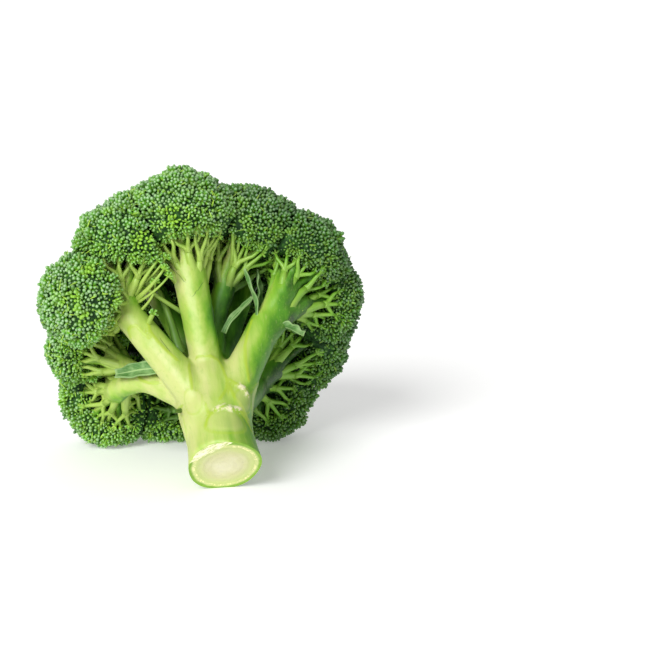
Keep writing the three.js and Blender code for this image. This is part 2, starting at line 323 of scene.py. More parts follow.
class Made:
    """A node that has been made, for reading its results."""

    def __init__(self, paint: "Paint", node: bpy.types.Node) -> None:
        """Wraps a node of that paint."""
        self.paint = paint
        self.node = node

    def value(self, output: Any) -> Value:
        """One of the node's results, by its name or number."""
        return Value(self.paint, self.node.outputs[output])


class Paint:
    """A material being built from nodes."""

    def __init__(self, name: str) -> None:
        """Starts a material with nothing but its output."""
        self.material = bpy.data.materials.new(name)
        self.material.use_nodes = True
        self.tree = self.material.node_tree
        self.tree.nodes.clear()
        self.output = self.tree.nodes.new("ShaderNodeOutputMaterial")

    def _fill(self, socket: bpy.types.NodeSocket, value: Any) -> None:
        """Links or sets one input."""
        if isinstance(value, Made):
            value = value.value(0)
        if isinstance(value, Value):
            self.tree.links.new(value.socket, socket)
        elif isinstance(value, tuple) and len(value) == 3 and len(socket.default_value) == 4:
            socket.default_value = (*value, 1.0)
        else:
            socket.default_value = value

    def node(self, kind: str, settings: Optional[dict[str, Any]] = None, *values: Any, **named: Any) -> Made:
        """Adds any node.

        Args:
            kind: the node's type.
            settings: its own settings, set first. "stops" fills a colour ramp.
            values: values or links for its first inputs, where None leaves one alone.
            named: values or links for inputs by name, with _ for a space.

        Returns:
            The node.
        """
        node = self.tree.nodes.new(kind)
        for key, value in (settings or {}).items():
            if key == "stops":
                self._stops(node.color_ramp, value)
            else:
                setattr(node, key, value)
        for number, value in enumerate(values):
            if value is not None:
                self._fill(node.inputs[number], value)
        for key, value in named.items():
            self._fill(node.inputs[key.replace("_", " ")], value)
        return Made(self, node)

    @staticmethod
    def _stops(ramp: bpy.types.ColorRamp, stops: Stops) -> None:
        """Sets a ramp's stops."""
        while len(ramp.elements) < len(stops):
            ramp.elements.new(0.5)
        for element, (position, colour) in zip(ramp.elements, stops):
            element.position = position
            element.color = (*colour, 1.0)

    def attribute(self, name: str) -> Value:
        """One of the mesh's own numbers."""
        return self.node("ShaderNodeAttribute", {"attribute_name": name}).value("Fac")

    def place(self) -> Value:
        """The object coordinates."""
        return self.node("ShaderNodeTexCoord").value("Object")

    def upright(self) -> tuple[Value, Value, Value]:
        """The object coordinates on the upright head, in millimetres from the cut's middle."""
        away = self.node("ShaderNodeVectorMath", {"operation": "SUBTRACT"}, self.place(), tuple(LIE.foot))
        parts = []
        for column in range(3):
            axis = tuple(LIE.turn.col[column] / MM)
            dot = self.node("ShaderNodeVectorMath", {"operation": "DOT_PRODUCT"}, away, axis)
            parts.append(dot.value("Value"))
        return parts[0], parts[1], parts[2]

    def noise(self, scale: float, detail: float = 2.0, vector: Any = None, roughness: float = 0.5) -> Value:
        """Even noise from 0 to 1, on the object coordinates unless a vector is given."""
        named = {"Scale": scale, "Detail": detail, "Roughness": roughness}
        place = self.place() if vector is None else vector
        return self.node("ShaderNodeTexNoise", None, place, **named).value(0)

    def mix(self, factor: Any, low: Any, high: Any) -> Value:
        """A colour between two others."""
        settings = {"data_type": "RGBA", "blend_type": "MIX", "clamp_factor": True}
        made = self.node("ShaderNodeMix", settings)
        for name, value in ((0, factor), (6, low), (7, high)):
            self._fill(made.node.inputs[name], value)
        return made.value(2)

    def ramp(self, factor: Value, stops: Stops) -> Value:
        """A colour read from a ramp."""
        return self.node("ShaderNodeValToRGB", {"stops": stops}, factor).value(0)

    def bump(self, height: Value, strength: float, distance: float) -> Value:
        """A normal bent by a height."""
        named = {"Strength": strength, "Distance": distance, "Height": height}
        return self.node("ShaderNodeBump", None, **named).value(0)

    def skin(self, **sockets: Any) -> bpy.types.Material:
        """Ends the material in a surface with these inputs."""
        surface = self.node("ShaderNodeBsdfPrincipled", None, **sockets)
        self.tree.links.new(surface.node.outputs[0], self.output.inputs["Surface"])
        return self.material


@dataclass(frozen=True)
class StalkSkin:
    """The waxy skin of the stalk and limbs: cream on one side, running to green on the other, partly its own
    colour and partly painted light on the lit side and painted shade on the other.
    """

    cream: Colour = (0.53, 0.58, 0.20)
    pale: Colour = (0.40, 0.54, 0.10)
    lime: Colour = (0.205, 0.420, 0.026)
    green: Colour = (0.080, 0.265, 0.010)
    # The dim green of painted shade, among the limbs and on the side turned from the light.
    shade_green: Colour = (0.014, 0.070, 0.004)
    fold: Colour = (0.36, 0.50, 0.03)
    torn: Colour = (0.74, 0.70, 0.44)
    scratch: Colour = (0.08, 0.16, 0.02)

    def make(self) -> bpy.types.Material:
        """Builds the material."""
        paint = Paint("stalk_skin")
        across, rise, height = paint.upright()
        blotch = paint.noise(45.0, 3.0)
        fine = paint.noise(300.0, 3.0)
        grain = paint.node("ShaderNodeCombineXYZ", None, across, rise, height * 0.10)
        streaks = paint.noise(0.8, 4.0, grain, 0.6)
        bands = paint.noise(0.22, 2.0, grain)
        # The green attribute is partly painted shade: it rises on the side of each limb turned from the
        # light.
        shade = paint.attribute("green") + (blotch - 0.5) * 0.5 + (bands - 0.5) * 0.8
        # Painted shade: points far among the limbs are pushed towards the dimmest green.
        hollow = paint.attribute("hollow").between(0.1, 0.9)
        shade = (shade + hollow * 0.75) / 1.5
        # The ramp's cream end is partly painted light and its green end partly painted shade.
        stops = [
            (0.0, self.cream),
            (0.24, self.pale),
            (0.46, self.lime),
            (0.68, self.green),
            (1.0, self.shade_green),
        ]
        body = paint.ramp(shade, stops)
        body = paint.mix((streaks - 0.5).between(0.03, 0.22) * (1 - hollow) * 0.22, body, self.cream)
        body = paint.mix((0.5 - streaks).between(0.03, 0.22) * 0.28, body, self.lime)
        body = paint.mix((fine - 0.5).between(0.08, 0.3) * 0.18, body, self.lime)
        body = paint.mix(self._line(paint, "fold", 0.4, 1.3) * 0.75, body, self.fold)
        body = paint.mix(paint.attribute("ring").between(0.3, 0.9) * 0.4, body, self.fold)
        body = paint.mix(paint.attribute("pad").between(0.05, 0.9) * 0.45, body, self.cream)
        torn = paint.attribute("torn_near") * paint.noise(500.0, 3.0).between(0.40, 0.56)
        body = paint.mix(torn, body, self.torn)
        body = paint.mix(self._line(paint, "scratch", 0.12, 0.32) * 0.7, body, self.scratch)
        normal = paint.bump(streaks * 0.7 + fine * 0.3, 0.30, 0.0006)
        return paint.skin(
            Base_Color=body,
            Roughness=0.34 + fine * 0.18,
            Normal=normal,
            Subsurface_Weight=0.15,
            Subsurface_Radius=(0.005, 0.008, 0.002),
            Subsurface_Scale=0.5,
            Specular_IOR_Level=0.45,
        )

    @staticmethod
    def _line(paint: Paint, name: str, sharp: float, soft: float) -> Value:
        """How much a place belongs to a marked line.

        Args:
            paint: the material.
            name: which kind of line.
            sharp: how far from its middle the line is full, in millimetres.
            soft: how far from its middle it ends.

        Returns:
            From 0 to 1.
        """
        side = paint.attribute(name + "_side").math("ABSOLUTE")
        return (1 - side.between(sharp, soft)) * paint.attribute(name + "_near")


@dataclass(frozen=True)
class CutFlesh:
    """The cut end: a green rim, a ring of pale strands inside it and a cream pith."""

    pith: Colour = (0.62, 0.61, 0.33)
    milk: Colour = (0.76, 0.73, 0.53)
    lime: Colour = (0.52, 0.64, 0.18)
    strand: Colour = (0.88, 0.84, 0.42)
    rind: Colour = (0.22, 0.42, 0.03)
    half_width: float = 17.5
    half_depth: float = 17.0

    def make(self) -> bpy.types.Material:
        """Builds the material."""
        paint = Paint("cut_flesh")
        across, rise, _ = paint.upright()
        out = ((across / self.half_width) ** 2.0 + (rise / self.half_depth) ** 2.0).root()
        ragged = paint.noise(300.0, 4.0)
        soft = paint.noise(70.0, 3.0)
        wavy = out + (ragged - 0.5) * 0.08 + (soft - 0.5) * 0.08
        milky = (1 - wavy.between(0.05, 0.6)) * 0.8 + (paint.noise(160.0, 4.0) - 0.5) * 1.2
        flesh = paint.mix(milky, self.pith, self.milk)
        flesh = paint.mix(wavy.between(0.45, 0.84) * 0.75, flesh, self.lime)
        flecks = paint.noise(1100.0, 2.0).between(0.50, 0.60)
        ringed = wavy.between(0.78, 0.82) * (1 - wavy.between(0.86, 0.90))
        flesh = paint.mix(ringed * (flecks * 0.75 + 0.25), flesh, self.strand)
        flesh = paint.mix(wavy.between(0.88, 0.94), flesh, self.rind)
        rings = ((out * 34.0).math("SINE") * 0.5 + 0.5) * 0.25
        height = ragged * 0.5 + paint.noise(1200.0, 2.0) * 0.4 + rings
        return paint.skin(
            Base_Color=flesh,
            Roughness=0.40 + soft * 0.2,
            Normal=paint.bump(height, 0.7, 0.0007),
            Subsurface_Weight=0.2,
            Subsurface_Radius=(0.006, 0.007, 0.003),
            Subsurface_Scale=0.5,
        )


@dataclass(frozen=True)
class SlipFlesh:
    """The slanted edge of the cut: torn pale fibres that run with the knife."""

    fibre: Colour = (0.86, 0.84, 0.56)
    gap: Colour = (0.46, 0.52, 0.18)

    def make(self) -> bpy.types.Material:
        """Builds the material."""
        paint = Paint("slip_flesh")
        across, rise, height = paint.upright()
        sideways = across * 0.25 + rise * 0.2
        grain = paint.node("ShaderNodeCombineXYZ", None, sideways, rise * 0.25, height * 1.2)
        fibres = paint.noise(1.6, 4.0, grain, 0.65)
        flesh = paint.mix(fibres.between(0.38, 0.58), self.gap, self.fibre)
        return paint.skin(
            Base_Color=flesh, Roughness=0.45 + fibres * 0.2, Normal=paint.bump(fibres, 0.8, 0.0009)
        )


@dataclass(frozen=True)
class BudFinish:
    """The buds: blue-green tips with a dull bloom, over yellow-green bases and dim gaps, which are painted
    shade; painted shade also dims the right of the head and the buds low in the creases.
    """

    neck: Colour = (0.270, 0.520, 0.030)
    base: Colour = (0.150, 0.430, 0.018)
    middle: Colour = (0.105, 0.345, 0.030)
    bloom: Colour = (0.240, 0.470, 0.160)
    tip: Colour = (0.400, 0.580, 0.330)
    dark_and_shade: Colour = (0.003, 0.055, 0.004)
    yellow: Colour = (0.43, 0.66, 0.06)
    young: Colour = (0.27, 0.55, 0.035)

    def make(self) -> bpy.types.Material:
        """Builds the material."""
        paint = Paint("buds")
        along = paint.attribute("along")
        tone = paint.attribute("tone")
        ripe = paint.attribute("ripe")
        stops = [
            (0.45, self.neck),
            (0.60, self.base),
            (0.78, self.middle),
            (0.92, self.bloom),
            (1.0, self.tip),
        ]
        colour = paint.ramp(along, stops)
        # Painted shade: a bud whose lightness is low is dimmed, for the shade in the creases between tufts,
        # and at random.
        colour = paint.mix((1 - tone).between(0.15, 1.0) * 0.78, colour, self.dark_and_shade)
        waxy = paint.noise(42.0, 2.0).between(0.40, 0.62) * along.between(0.7, 0.95)
        colour = paint.mix(waxy * 0.5, colour, self.tip)
        fresh = paint.mix(along.between(0.35, 0.9), self.yellow, self.young)
        colour = paint.mix(ripe, colour, fresh)
        fine = paint.noise(1500.0, 2.0)
        colour = paint.mix((fine - 0.5).between(0.0, 0.2) * 0.25, colour, self.bloom)
        # Painted shade: the buds dim towards the right of the head, the side turned from the key light.
        across = paint.upright()[0]
        colour = paint.mix(across.between(-14.0, 50.0) * 0.52, colour, self.dark_and_shade)
        return paint.skin(
            Base_Color=colour,
            Roughness=0.38 + fine * 0.18,
            Normal=paint.bump(fine, 0.25, 0.0002),
            Specular_IOR_Level=0.55,
        )


@dataclass(frozen=True)
class ShadeFinish:
    """Painted shade: the dim green flesh between and below the buds."""

    dark_and_shade: Colour = (0.003, 0.036, 0.002)
    light: Colour = (0.030, 0.130, 0.005)

    def make(self) -> bpy.types.Material:
        """Builds the material."""
        paint = Paint("bud_shade")
        patch = paint.noise(420.0, 3.0)
        colour = paint.mix(patch.between(0.4, 0.7), self.dark_and_shade, self.light)
        return paint.skin(Base_Color=colour, Roughness=0.8, Normal=paint.bump(patch, 0.6, 0.0008))


@dataclass(frozen=True)
class StalkletFinish:
    """The thin bud stalks: pale where they leave the limb and green where the buds begin; painted shade makes
    them greener on the right and dim green at the back among the limbs.
    """

    pale: Colour = (0.40, 0.55, 0.10)
    green: Colour = (0.14, 0.36, 0.020)
    shade_green: Colour = (0.03, 0.12, 0.006)

    def make(self) -> bpy.types.Material:
        """Builds the material."""
        paint = Paint("stalklets")
        along = paint.attribute("along")
        patch = paint.noise(160.0, 2.0)
        across, rise, height = paint.upright()
        # Greener towards the right of the head, partly painted shade.
        shade = along * 0.7 + (patch - 0.5) * 0.6 + across.between(4.0, 34.0) * 0.4
        colour = paint.mix(shade.between(0.0, 0.9), self.pale, self.green)
        # Painted shade: stalks at the back, among the limbs, are dimmed to a shaded green.
        shade_behind = rise.between(-38.0, -20.0) * (1 - across.math("ABSOLUTE").between(20.0, 34.0))
        colour = paint.mix(shade_behind * 0.85, colour, self.shade_green)
        return paint.skin(
            Base_Color=colour, Roughness=0.38 + patch * 0.15, Normal=paint.bump(patch, 0.2, 0.0004)
        )


@dataclass(frozen=True)
class LeafFinish:
    """The leaves: blue-green with a waxy bloom, pale veins and pale cut edges."""

    green: Colour = (0.060, 0.190, 0.028)
    bloom: Colour = (0.210, 0.360, 0.125)
    vein: Colour = (0.330, 0.500, 0.190)

    def make(self) -> bpy.types.Material:
        """Builds the material."""
        paint = Paint("leaf")
        across = paint.attribute("across")
        along = paint.attribute("along")
        patch = paint.noise(220.0, 3.0)
        rib = 1 - across.math("ABSOLUTE").between(0.04, 0.16)
        side = ((along * 7.0 - across.math("ABSOLUTE") * 2.2).math("FRACT") - 0.5).math("ABSOLUTE")
        veins = (1 - side.between(0.02, 0.09)) * 0.3
        edge = across.math("ABSOLUTE").between(0.82, 0.98)
        ends = along.between(0.93, 1.0)
        colour = paint.mix(patch.between(0.35, 0.7), self.green, self.bloom)
        colour = paint.mix(veins, colour, self.vein)
        colour = paint.mix(rib.math("MAXIMUM", edge * 0.5).math("MAXIMUM", ends), colour, self.vein)
        height = rib + veins * 0.5 + patch * 0.4
        return paint.skin(
            Base_Color=colour, Roughness=0.5 + patch * 0.15, Normal=paint.bump(height, 0.4, 0.0004)
        )


@dataclass(frozen=True)
class SurfaceFinish:
    """The plain pale surface that the head lies on."""

    white: Colour = (0.92, 0.92, 0.915)
    warm: Colour = (0.93, 0.93, 0.92)
    glow: float = 0.24

    def make(self) -> bpy.types.Material:
        """Builds the material."""
        paint = Paint("pale_surface")
        cloud = paint.noise(3.0, 2.0)
        return paint.skin(
            Base_Color=paint.mix(cloud, self.white, self.warm),
            Roughness=0.7,
            Emission_Color=(1.0, 1.0, 0.99),
            Emission_Strength=self.glow,
        )


@dataclass(frozen=True)
class Scar:
    """The mark of a cut leaf: a low oval pad on the stalk, with a rim.

    Attributes:
        at: its middle.
        wide: half its width, in millimetres.
        tall: half its height, in millimetres.
        lift: how far the pad stands out, in millimetres.
    """

    at: Place
    wide: float
    tall: float
    lift: float = 0.5


class Mark(Enum):
    """The kinds of line on the stalk."""

    FOLD = "fold"
    TORN = "torn"
    SCRATCH = "scratch"


@dataclass(frozen=True)
class Seam:
    """A line on the stalk: the edge of a leaf's foot, a torn rim or a scratch.

    Attributes:
        kind: what the line is.
        lift: how far it stands out, in millimetres.
        width: how far its ridge reaches to each side, in millimetres.
        points: the places that it runs through.
    """

    kind: Mark
    lift: float
    width: float
    points: tuple[Place, ...]

    def distances(self, upright: np.ndarray, facing: np.ndarray) -> tuple[np.ndarray, np.ndarray]:
        """How far points are from the line, and to which side.

        Args:
            upright: points of the upright head, in millimetres.
            facing: the surface's directions at them.

        Returns:
            The distances, and the same with a sign for the side.
        """
        corners = np.array([LIE.upright(place) for place in self.points]) / MM
        nearest = np.full(len(upright), np.inf)
        side = np.zeros(len(upright))
        for first, last in zip(corners[:-1], corners[1:]):
            run = last - first
            share = np.clip((upright - first) @ run / (run @ run), 0, 1)
            away = upright - first - share[:, None] * run
            distance = np.linalg.norm(away, axis=1)
            hand = np.sign(np.einsum("ij,ij->i", np.cross(run, facing), away))
            closer = distance < nearest
            nearest = np.where(closer, distance, nearest)
            side = np.where(closer, distance * hand, side)
        return nearest, side


SCARS = (
    Scar((316.5, 16.6, 29.4), 5.0, 6.4, 0.7),
    Scar((5, 16.0, 13.5), 9.5, 7.5, 0.9),
    Scar((38, 17.5, 27), 5.0, 6.5, 0.6),
    Scar((66, 17.0, 33), 5.5, 8.0),
    Scar((268, 16.0, 24), 6.0, 8.0),
    Scar((135, 16.0, 26), 8.0, 11.0),
    Scar((215, 16.0, 33), 8.0, 11.0),
)

SEAMS = (
    Seam(
        Mark.FOLD,
        0.45,
        0.9,
        ((329, 15.3, 13.6), (335, 15.3, 17.9), (348.5, 15.7, 21.4), (2.6, 16.4, 22.6)),
    ),
    Seam(Mark.FOLD, 0.45, 0.9, ((28, 16.9, 21.1), (47.6, 15.5, 19.0), (60.8, 15.8, 13.6))),
    Seam(
        Mark.TORN,
        0.9,
        1.1,
        ((352, 16.2, 21.4), (2.6, 16.4, 22.8), (15, 16.9, 20.9), (27, 16.9, 21.3)),
    ),
    Seam(
        Mark.FOLD,
        0.5,
        0.9,
        (
            (321.4, 19.6, 36),
            (324.2, 20.9, 41),
            (325.4, 22.1, 46.4),
            (330, 21.5, 51.5),
            (340, 19.9, 53),
            (356.4, 19.4, 52),
        ),
    ),
    Seam(
        Mark.FOLD,
        0.5,
        0.9,
        (
            (356.4, 19.4, 52),
            (6.7, 18, 50.3),
            (12.2, 17.7, 44.2),
            (15.9, 17.7, 37.9),
            (12, 17.2, 32.4),
            (0, 16.6, 27),
        ),
    ),
    Seam(
        Mark.FOLD,
        0.45,
        0.9,
        ((17.9, 17.9, 39.1), (26.8, 19.6, 35.3), (34.9, 20.3, 34), (43, 20, 29.9)),
    ),
    Seam(Mark.TORN, 0.35, 0.8, ((33, 20.2, 34.2), (36, 20.2, 33.2), (41, 20.0, 30.5))),
    Seam(
        Mark.FOLD,
        0.35,
        0.9,
        ((17.9, 17.8, 35.4), (22.6, 17.9, 28), (35.3, 17.5, 22.1), (56, 15.8, 19.6)),
    ),
    Seam(Mark.FOLD, 0.45, 0.9, ((292, 17.7, 32.5), (283, 17.9, 33.6), (275, 17.9, 34.3))),
    Seam(Mark.FOLD, 0.35, 0.8, ((335.5, 16.9, 24.9), (337, 15.5, 20.7), (344, 15.6, 19.9))),
    Seam(Mark.SCRATCH, -0.2, 0.6, ((348.3, 37.1, 76.8), (352.6, 38.1, 79.3), (356.2, 38.6, 82.6))),
    Seam(Mark.SCRATCH, -0.2, 0.6, ((339.2, 42.0, 90), (341.4, 42.2, 86.5), (343.3, 40.9, 83.8))),
    Seam(Mark.SCRATCH, -0.3, 0.7, ((314.6, 34.2, 60.1), (315.2, 32.2, 57.1), (316.2, 30.4, 54.6))),
    Seam(
        Mark.FOLD,
        0.45,
        0.9,
        (
            (298.4, 43.4, 65.4),
            (300.9, 45.4, 67.6),
            (303.8, 45.8, 68.2),
            (306.5, 44.5, 67.7),
            (308.7, 39.2, 61.4),
        ),
    ),
    Seam(
        Mark.FOLD,
        0.6,
        1.0,
        (
            (312, 40.3, 68.3),
            (311, 39, 64.2),
            (312.2, 35.1, 58.7),
            (315, 30.5, 53.7),
            (318.2, 27.1, 50.1),
        ),
    ),
    Seam(
        Mark.FOLD,
        0.7,
        1.2,
        (
            (40.9, 32.1, 69.2),
            (38.1, 29.4, 62.4),
            (35.2, 27.1, 54.8),
            (35.6, 25.1, 46.6),
            (41.6, 22.7, 37.9),
        ),
    ),
    Seam(
        Mark.FOLD,
        0.4,
        0.9,
        ((270.5, 34.2, 60), (270.4, 33.2, 56.1), (273, 29.7, 52.7), (277.2, 25.8, 50.9)),
    ),
)


@dataclass
class Stalk:
    """The trunk, its limbs and the ribs below the caps, as one smooth-skinned body."""

    voxel: float = 1.16 * MM
    spare: float = 5.0 * MM
    smoothing: int = 7
    swell: float = 0.2 * MM
    rim: float = 1.1 * MM
    rim_sink: float = 0.12
    plain_end: float = 1.5
    mark_reach: float = 2.2
    beyond: float = 9.0
    ring_lift: float = 0.35
    ring_width: float = 0.12
    pad_slope: float = 1.6
    slip_clock: float = 325.0
    slip_spread: float = 12.5
    slip_slant: float = 38.0
    shaded_side: Vector = field(default_factory=lambda: Vector((1.0, 0.0, -0.25)).normalized())

    def build(self) -> bpy.types.Object:
        """Builds the stalk and replaces its solid.

        Returns:
            The finished piece.
        """
        shape = merged_copy("stalk")
        self._lengthen(shape)
        shape = remeshed(shape, self.voxel)
        smoothed(shape, self.smoothing, self.swell)
        self._cut(shape)
        mesh = to_mesh(shape, "stalk_skin")
        for face in mesh.polygons:
            face.use_smooth = face.material_index == 0
        self._mark(mesh)
        piece = new_object("stalk_skin", mesh)
        materials = [StalkSkin().make(), CutFlesh().make(), SlipFlesh().make()]
        return finish_piece(piece, materials, ["stalk"])

    def _lengthen(self, shape: bmesh.types.BMesh) -> None:
        """Draws the cut end out, so that smoothing doesn't round its rim."""
        down = -LIE.axis
        cut = [face for face in shape.faces if face.normal.dot(down) > 0.999]
        drawn = bmesh.ops.extrude_face_region(shape, geom=cut)
        corners = [part for part in drawn["geom"] if isinstance(part, bmesh.types.BMVert)]
        bmesh.ops.delete(shape, geom=cut, context="FACES")
        bmesh.ops.translate(shape, verts=corners, vec=down * self.spare)

    @staticmethod
    def _slice(
        shape: bmesh.types.BMesh, point: Vector, outward: Vector, index: int
    ) -> list[bmesh.types.BMFace]:
        """Cuts a flat end and closes it.

        Args:
            shape: the bmesh.
            point: a point on the cut.
            outward: the direction that the end faces.
            index: the material index of the end.

        Returns:
            The faces that close the cut.
        """
        everything = list(shape.verts) + list(shape.edges) + list(shape.faces)
        cut = bmesh.ops.bisect_plane(
            shape, geom=everything, dist=1e-7, plane_co=point, plane_no=outward, clear_outer=True
        )
        rim = [part for part in cut["geom_cut"] if isinstance(part, bmesh.types.BMEdge)]
        faces = bmesh.ops.edgeloop_fill(shape, edges=rim)["faces"]
        for face in faces:
            face.material_index = index
        return faces

    def _cut(self, shape: bmesh.types.BMesh) -> None:
        """Cuts the end square, slants its upper left edge and sinks the flesh inside the rim."""
        slant = math.radians(self.slip_slant)
        lean = LIE.upright((self.slip_clock, math.sin(slant), -math.cos(slant))) / MM
        slip = self._slice(shape, LIE.at((self.slip_clock, self.slip_spread, 0)), LIE.turn @ lean, 2)
        end = self._slice(shape, LIE.foot, -LIE.axis, 1)
        shape.normal_update()
        inner = bmesh.ops.inset_region(shape, faces=end, thickness=self.rim, depth=-self.rim_sink * self.rim)
        for face in inner["faces"]:
            face.material_index = 1
        bmesh.ops.triangulate(shape, faces=slip + end)

    def _mark(self, mesh: bpy.types.Mesh) -> None:
        """Raises the scars and seams, and keeps what the skin needs to know about each corner.

        Args:
            mesh: the stalk's mesh.
        """
        points = read_vectors(mesh.vertices, "co")
        normals = read_vectors(mesh.vertices, "normal")
        upright = LIE.local(points) / MM
        facing = normals @ np.array(LIE.turn)
        raised = np.zeros(len(points))
        ring = np.zeros(len(points))
        pad = np.zeros(len(points))
        for scar in SCARS:
            rim, inside = self._oval(scar, upright, facing)
            ring = np.maximum(ring, rim)
            pad = np.maximum(pad, inside)
            raised += rim * self.ring_lift + inside * scar.lift
        fields = {}
        for kind in Mark:
            nearest = np.full(len(points), self.beyond)
            side = np.full(len(points), self.beyond)
            for seam in (seam for seam in SEAMS if seam.kind is kind):
                distance, hand = seam.distances(upright, facing)
                raised += seam.lift * np.exp(-((distance / seam.width) ** 2))
                side = np.where(distance < nearest, hand, side)
                nearest = np.minimum(distance, nearest)
            fields[kind.value + "_side"] = side
            fields[kind.value + "_near"] = np.clip(self.mark_reach - nearest, 0, 1)
        raised[upright[:, 2] < self.plain_end] = 0.0
        points = points + normals * (raised * MM)[:, None]
        points[:, 2] = np.maximum(points[:, 2], 0.0)
        mesh.vertices.foreach_set("co", points.ravel())
        fields["ring"] = ring
        fields["pad"] = pad
        fields["hollow"] = self._hollow(upright)
        fields["green"] = self._green_and_painted_shade(upright, normals)
        for name, values in fields.items():
            write_numbers(mesh, name, values)
        mesh.update()

    def _oval(
        self, scar: Scar, upright: np.ndarray, facing: np.ndarray
    ) -> tuple[np.ndarray, np.ndarray]:
        """How much each point belongs to a scar's rim and to the pad inside it.

        Args:
            scar: the scar.
            upright: points of the upright head, in millimetres.
            facing: the surface's directions at them.

        Returns:
            The rim's shares and the pad's, from 0 to 1.
        """
        middle = np.array(LIE.upright(scar.at)) / MM
        outward = np.array([middle[0], middle[1], 0.0]) / math.hypot(middle[0], middle[1])
        side = np.array([-outward[1], outward[0], 0.0])
        away = upright - middle
        ring = np.hypot(away @ side / scar.wide, away[:, 2] / scar.tall)
        ahead = np.clip(facing @ outward * 3.0, 0.0, 1.0) * (np.abs(away @ outward) < self.beyond)
        rim = np.exp(-(((ring - 1.0) / self.ring_width) ** 2)) * ahead
        return rim, np.clip((1.0 - ring**2) * self.pad_slope, 0.0, 1.0) * ahead

    @staticmethod
    def _hollow(upright: np.ndarray) -> np.ndarray:
        """Painted shade among the limbs: how far inside them each point lies, from 0 to 1."""
        high = between(upright[:, 2], 52.0, 74.0)
        shade_behind = between(-upright[:, 1], 38.0, 24.0)
        inside = between(np.abs(upright[:, 0]), 27.0, 18.0)
        return high * shade_behind * inside

    def _green_and_painted_shade(self, upright: np.ndarray, normals: np.ndarray) -> np.ndarray:
        """How green each point is: more so on the right of every limb, where painted shade falls on the side
        turned from the light, and on the right limb.
        """
        # Painted shade: surfaces turned towards the shaded side get greener.
        turned = normals @ np.array(self.shaded_side)
        right = between(upright[:, 0], 8.0, 30.0)
        back = between(upright[:, 1], 0.0, 12.0)
        low = between(upright[:, 2], 34.0, 14.0)
        far = between(np.hypot(upright[:, 0], upright[:, 1]), 34.0, 48.0)
        return 0.27 + 0.46 * turned + 0.56 * right + 0.3 * back + 0.20 * low + 0.18 * far


@dataclass(frozen=True)
class FloretPlan:
    """Where one floret's cap sits and where its stem forks.

    Attributes:
        name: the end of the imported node's name.
        at: the cap's middle.
        radius: the cap's radius, in millimetres.
        fork: where its ribs part.
        stem: the stem's radius at the fork, in millimetres.
        arms: how many thin branches leave the stem round its fork.
    """

    name: str
    at: Place
    radius: float
    fork: Place
    stem: float
    arms: int = 8


FLORETS = (
    FloretPlan("top", (347.5, 48.5, 113.5), 29, (348, 38, 93), 8.6, 10),
    FloretPlan("top_right", (35, 43, 117.5), 26.5, (28, 28, 99), 5.6),
    FloretPlan("right_upper", (59, 57, 104), 25, (54.5, 47, 84.5), 6.8),
    FloretPlan("right", (84, 61, 98), 24, (68, 51, 84), 6.0),
    FloretPlan("right_lower", (113, 60, 95), 25, (118, 42.4, 77.1), 6.0),
    FloretPlan("foot_right", (140, 57, 84), 26, (131, 36.3, 68.9), 6.6),
    FloretPlan("under", (192, 51, 89), 25.5, (192, 33.3, 69.9), 7.0),
    FloretPlan("foot_left", (222.5, 63, 88), 26.5, (248, 45.5, 65.5), 5.2, 10),
    FloretPlan("left_lower", (253, 55.5, 95), 23.5, (257, 41.5, 75.9), 5.0),
    FloretPlan("left", (295, 63, 85), 25, (295, 50.5, 84), 6.0, 9),
    FloretPlan("left_upper", (318, 55, 106), 26, (308.5, 49, 90.5), 6.2, 9),
    FloretPlan("crown_right", (78, 33, 129), 25, (78, 23.6, 105.3), 6.0, 0),
    FloretPlan("crown_back_right", (143, 35, 126), 27, (143, 24.2, 100.7), 6.0, 0),
    FloretPlan("crown_back_left", (212, 34, 126), 26.5, (212, 23.6, 101), 6.0, 0),
    FloretPlan("crown_left", (292, 31, 130), 25, (292, 22.2, 106.1), 5.6, 0),
    FloretPlan("crown_middle", (0, 1, 139), 27.5, (0, 0.7, 111), 6.6, 0),
)

RIPE_PATCHES = (
    ((302, 78, 71), 5.0),
    ((301, 70, 64.5), 4.5),
    ((346, 72, 98), 5.5),
    ((332, 67, 92.5), 5.0),
    ((311, 77, 83), 4.0),
)


class Spacing:
    """Keeps points at least a pitch apart, by a grid of cells."""

    def __init__(self, pitch: float) -> None:
        """Starts with no points."""
        self.pitch = pitch
        self.cells: dict[tuple[int, int, int], list[np.ndarray]] = {}

    def _cell(self, point: np.ndarray) -> tuple[int, int, int]:
        """The cell that holds a point."""
        return tuple(int(math.floor(c / self.pitch)) for c in point)

    def add(self, point: np.ndarray) -> bool:
        """Keeps a point if it is clear of the others.

        Args:
            point: the point.

        Returns:
            Whether it was kept.
        """
        own = self._cell(point)
        for i in (-1, 0, 1):
            for j in (-1, 0, 1):
                for k in (-1, 0, 1):
                    for other in self.cells.get((own[0] + i, own[1] + j, own[2] + k), ()):
                        if np.dot(point - other, point - other) < self.pitch * self.pitch:
                            return False
        self.cells.setdefault(own, []).append(point)
        return True


class Stamp:
    """One small shape that is copied many times into a mesh."""

    def __init__(self, shape: bmesh.types.BMesh, name: str) -> None:
        """Takes the shape, which stands on the origin and grows along +Z to a height of 1."""
        self.mesh = to_mesh(shape, name)
        self.corners = read_vectors(self.mesh.vertices, "co")

    def press(self, into: bmesh.types.BMesh, moved: np.ndarray) -> None:
        """Adds a copy with its corners moved.

        Args:
            into: the bmesh that grows.
            moved: the copy's corners, in the shape's order.
        """
        self.mesh.vertices.foreach_set("co", moved.ravel())
        into.from_mesh(self.mesh)

    def discard(self) -> None:
        """Removes the shape's own mesh."""
        bpy.data.meshes.remove(self.mesh)


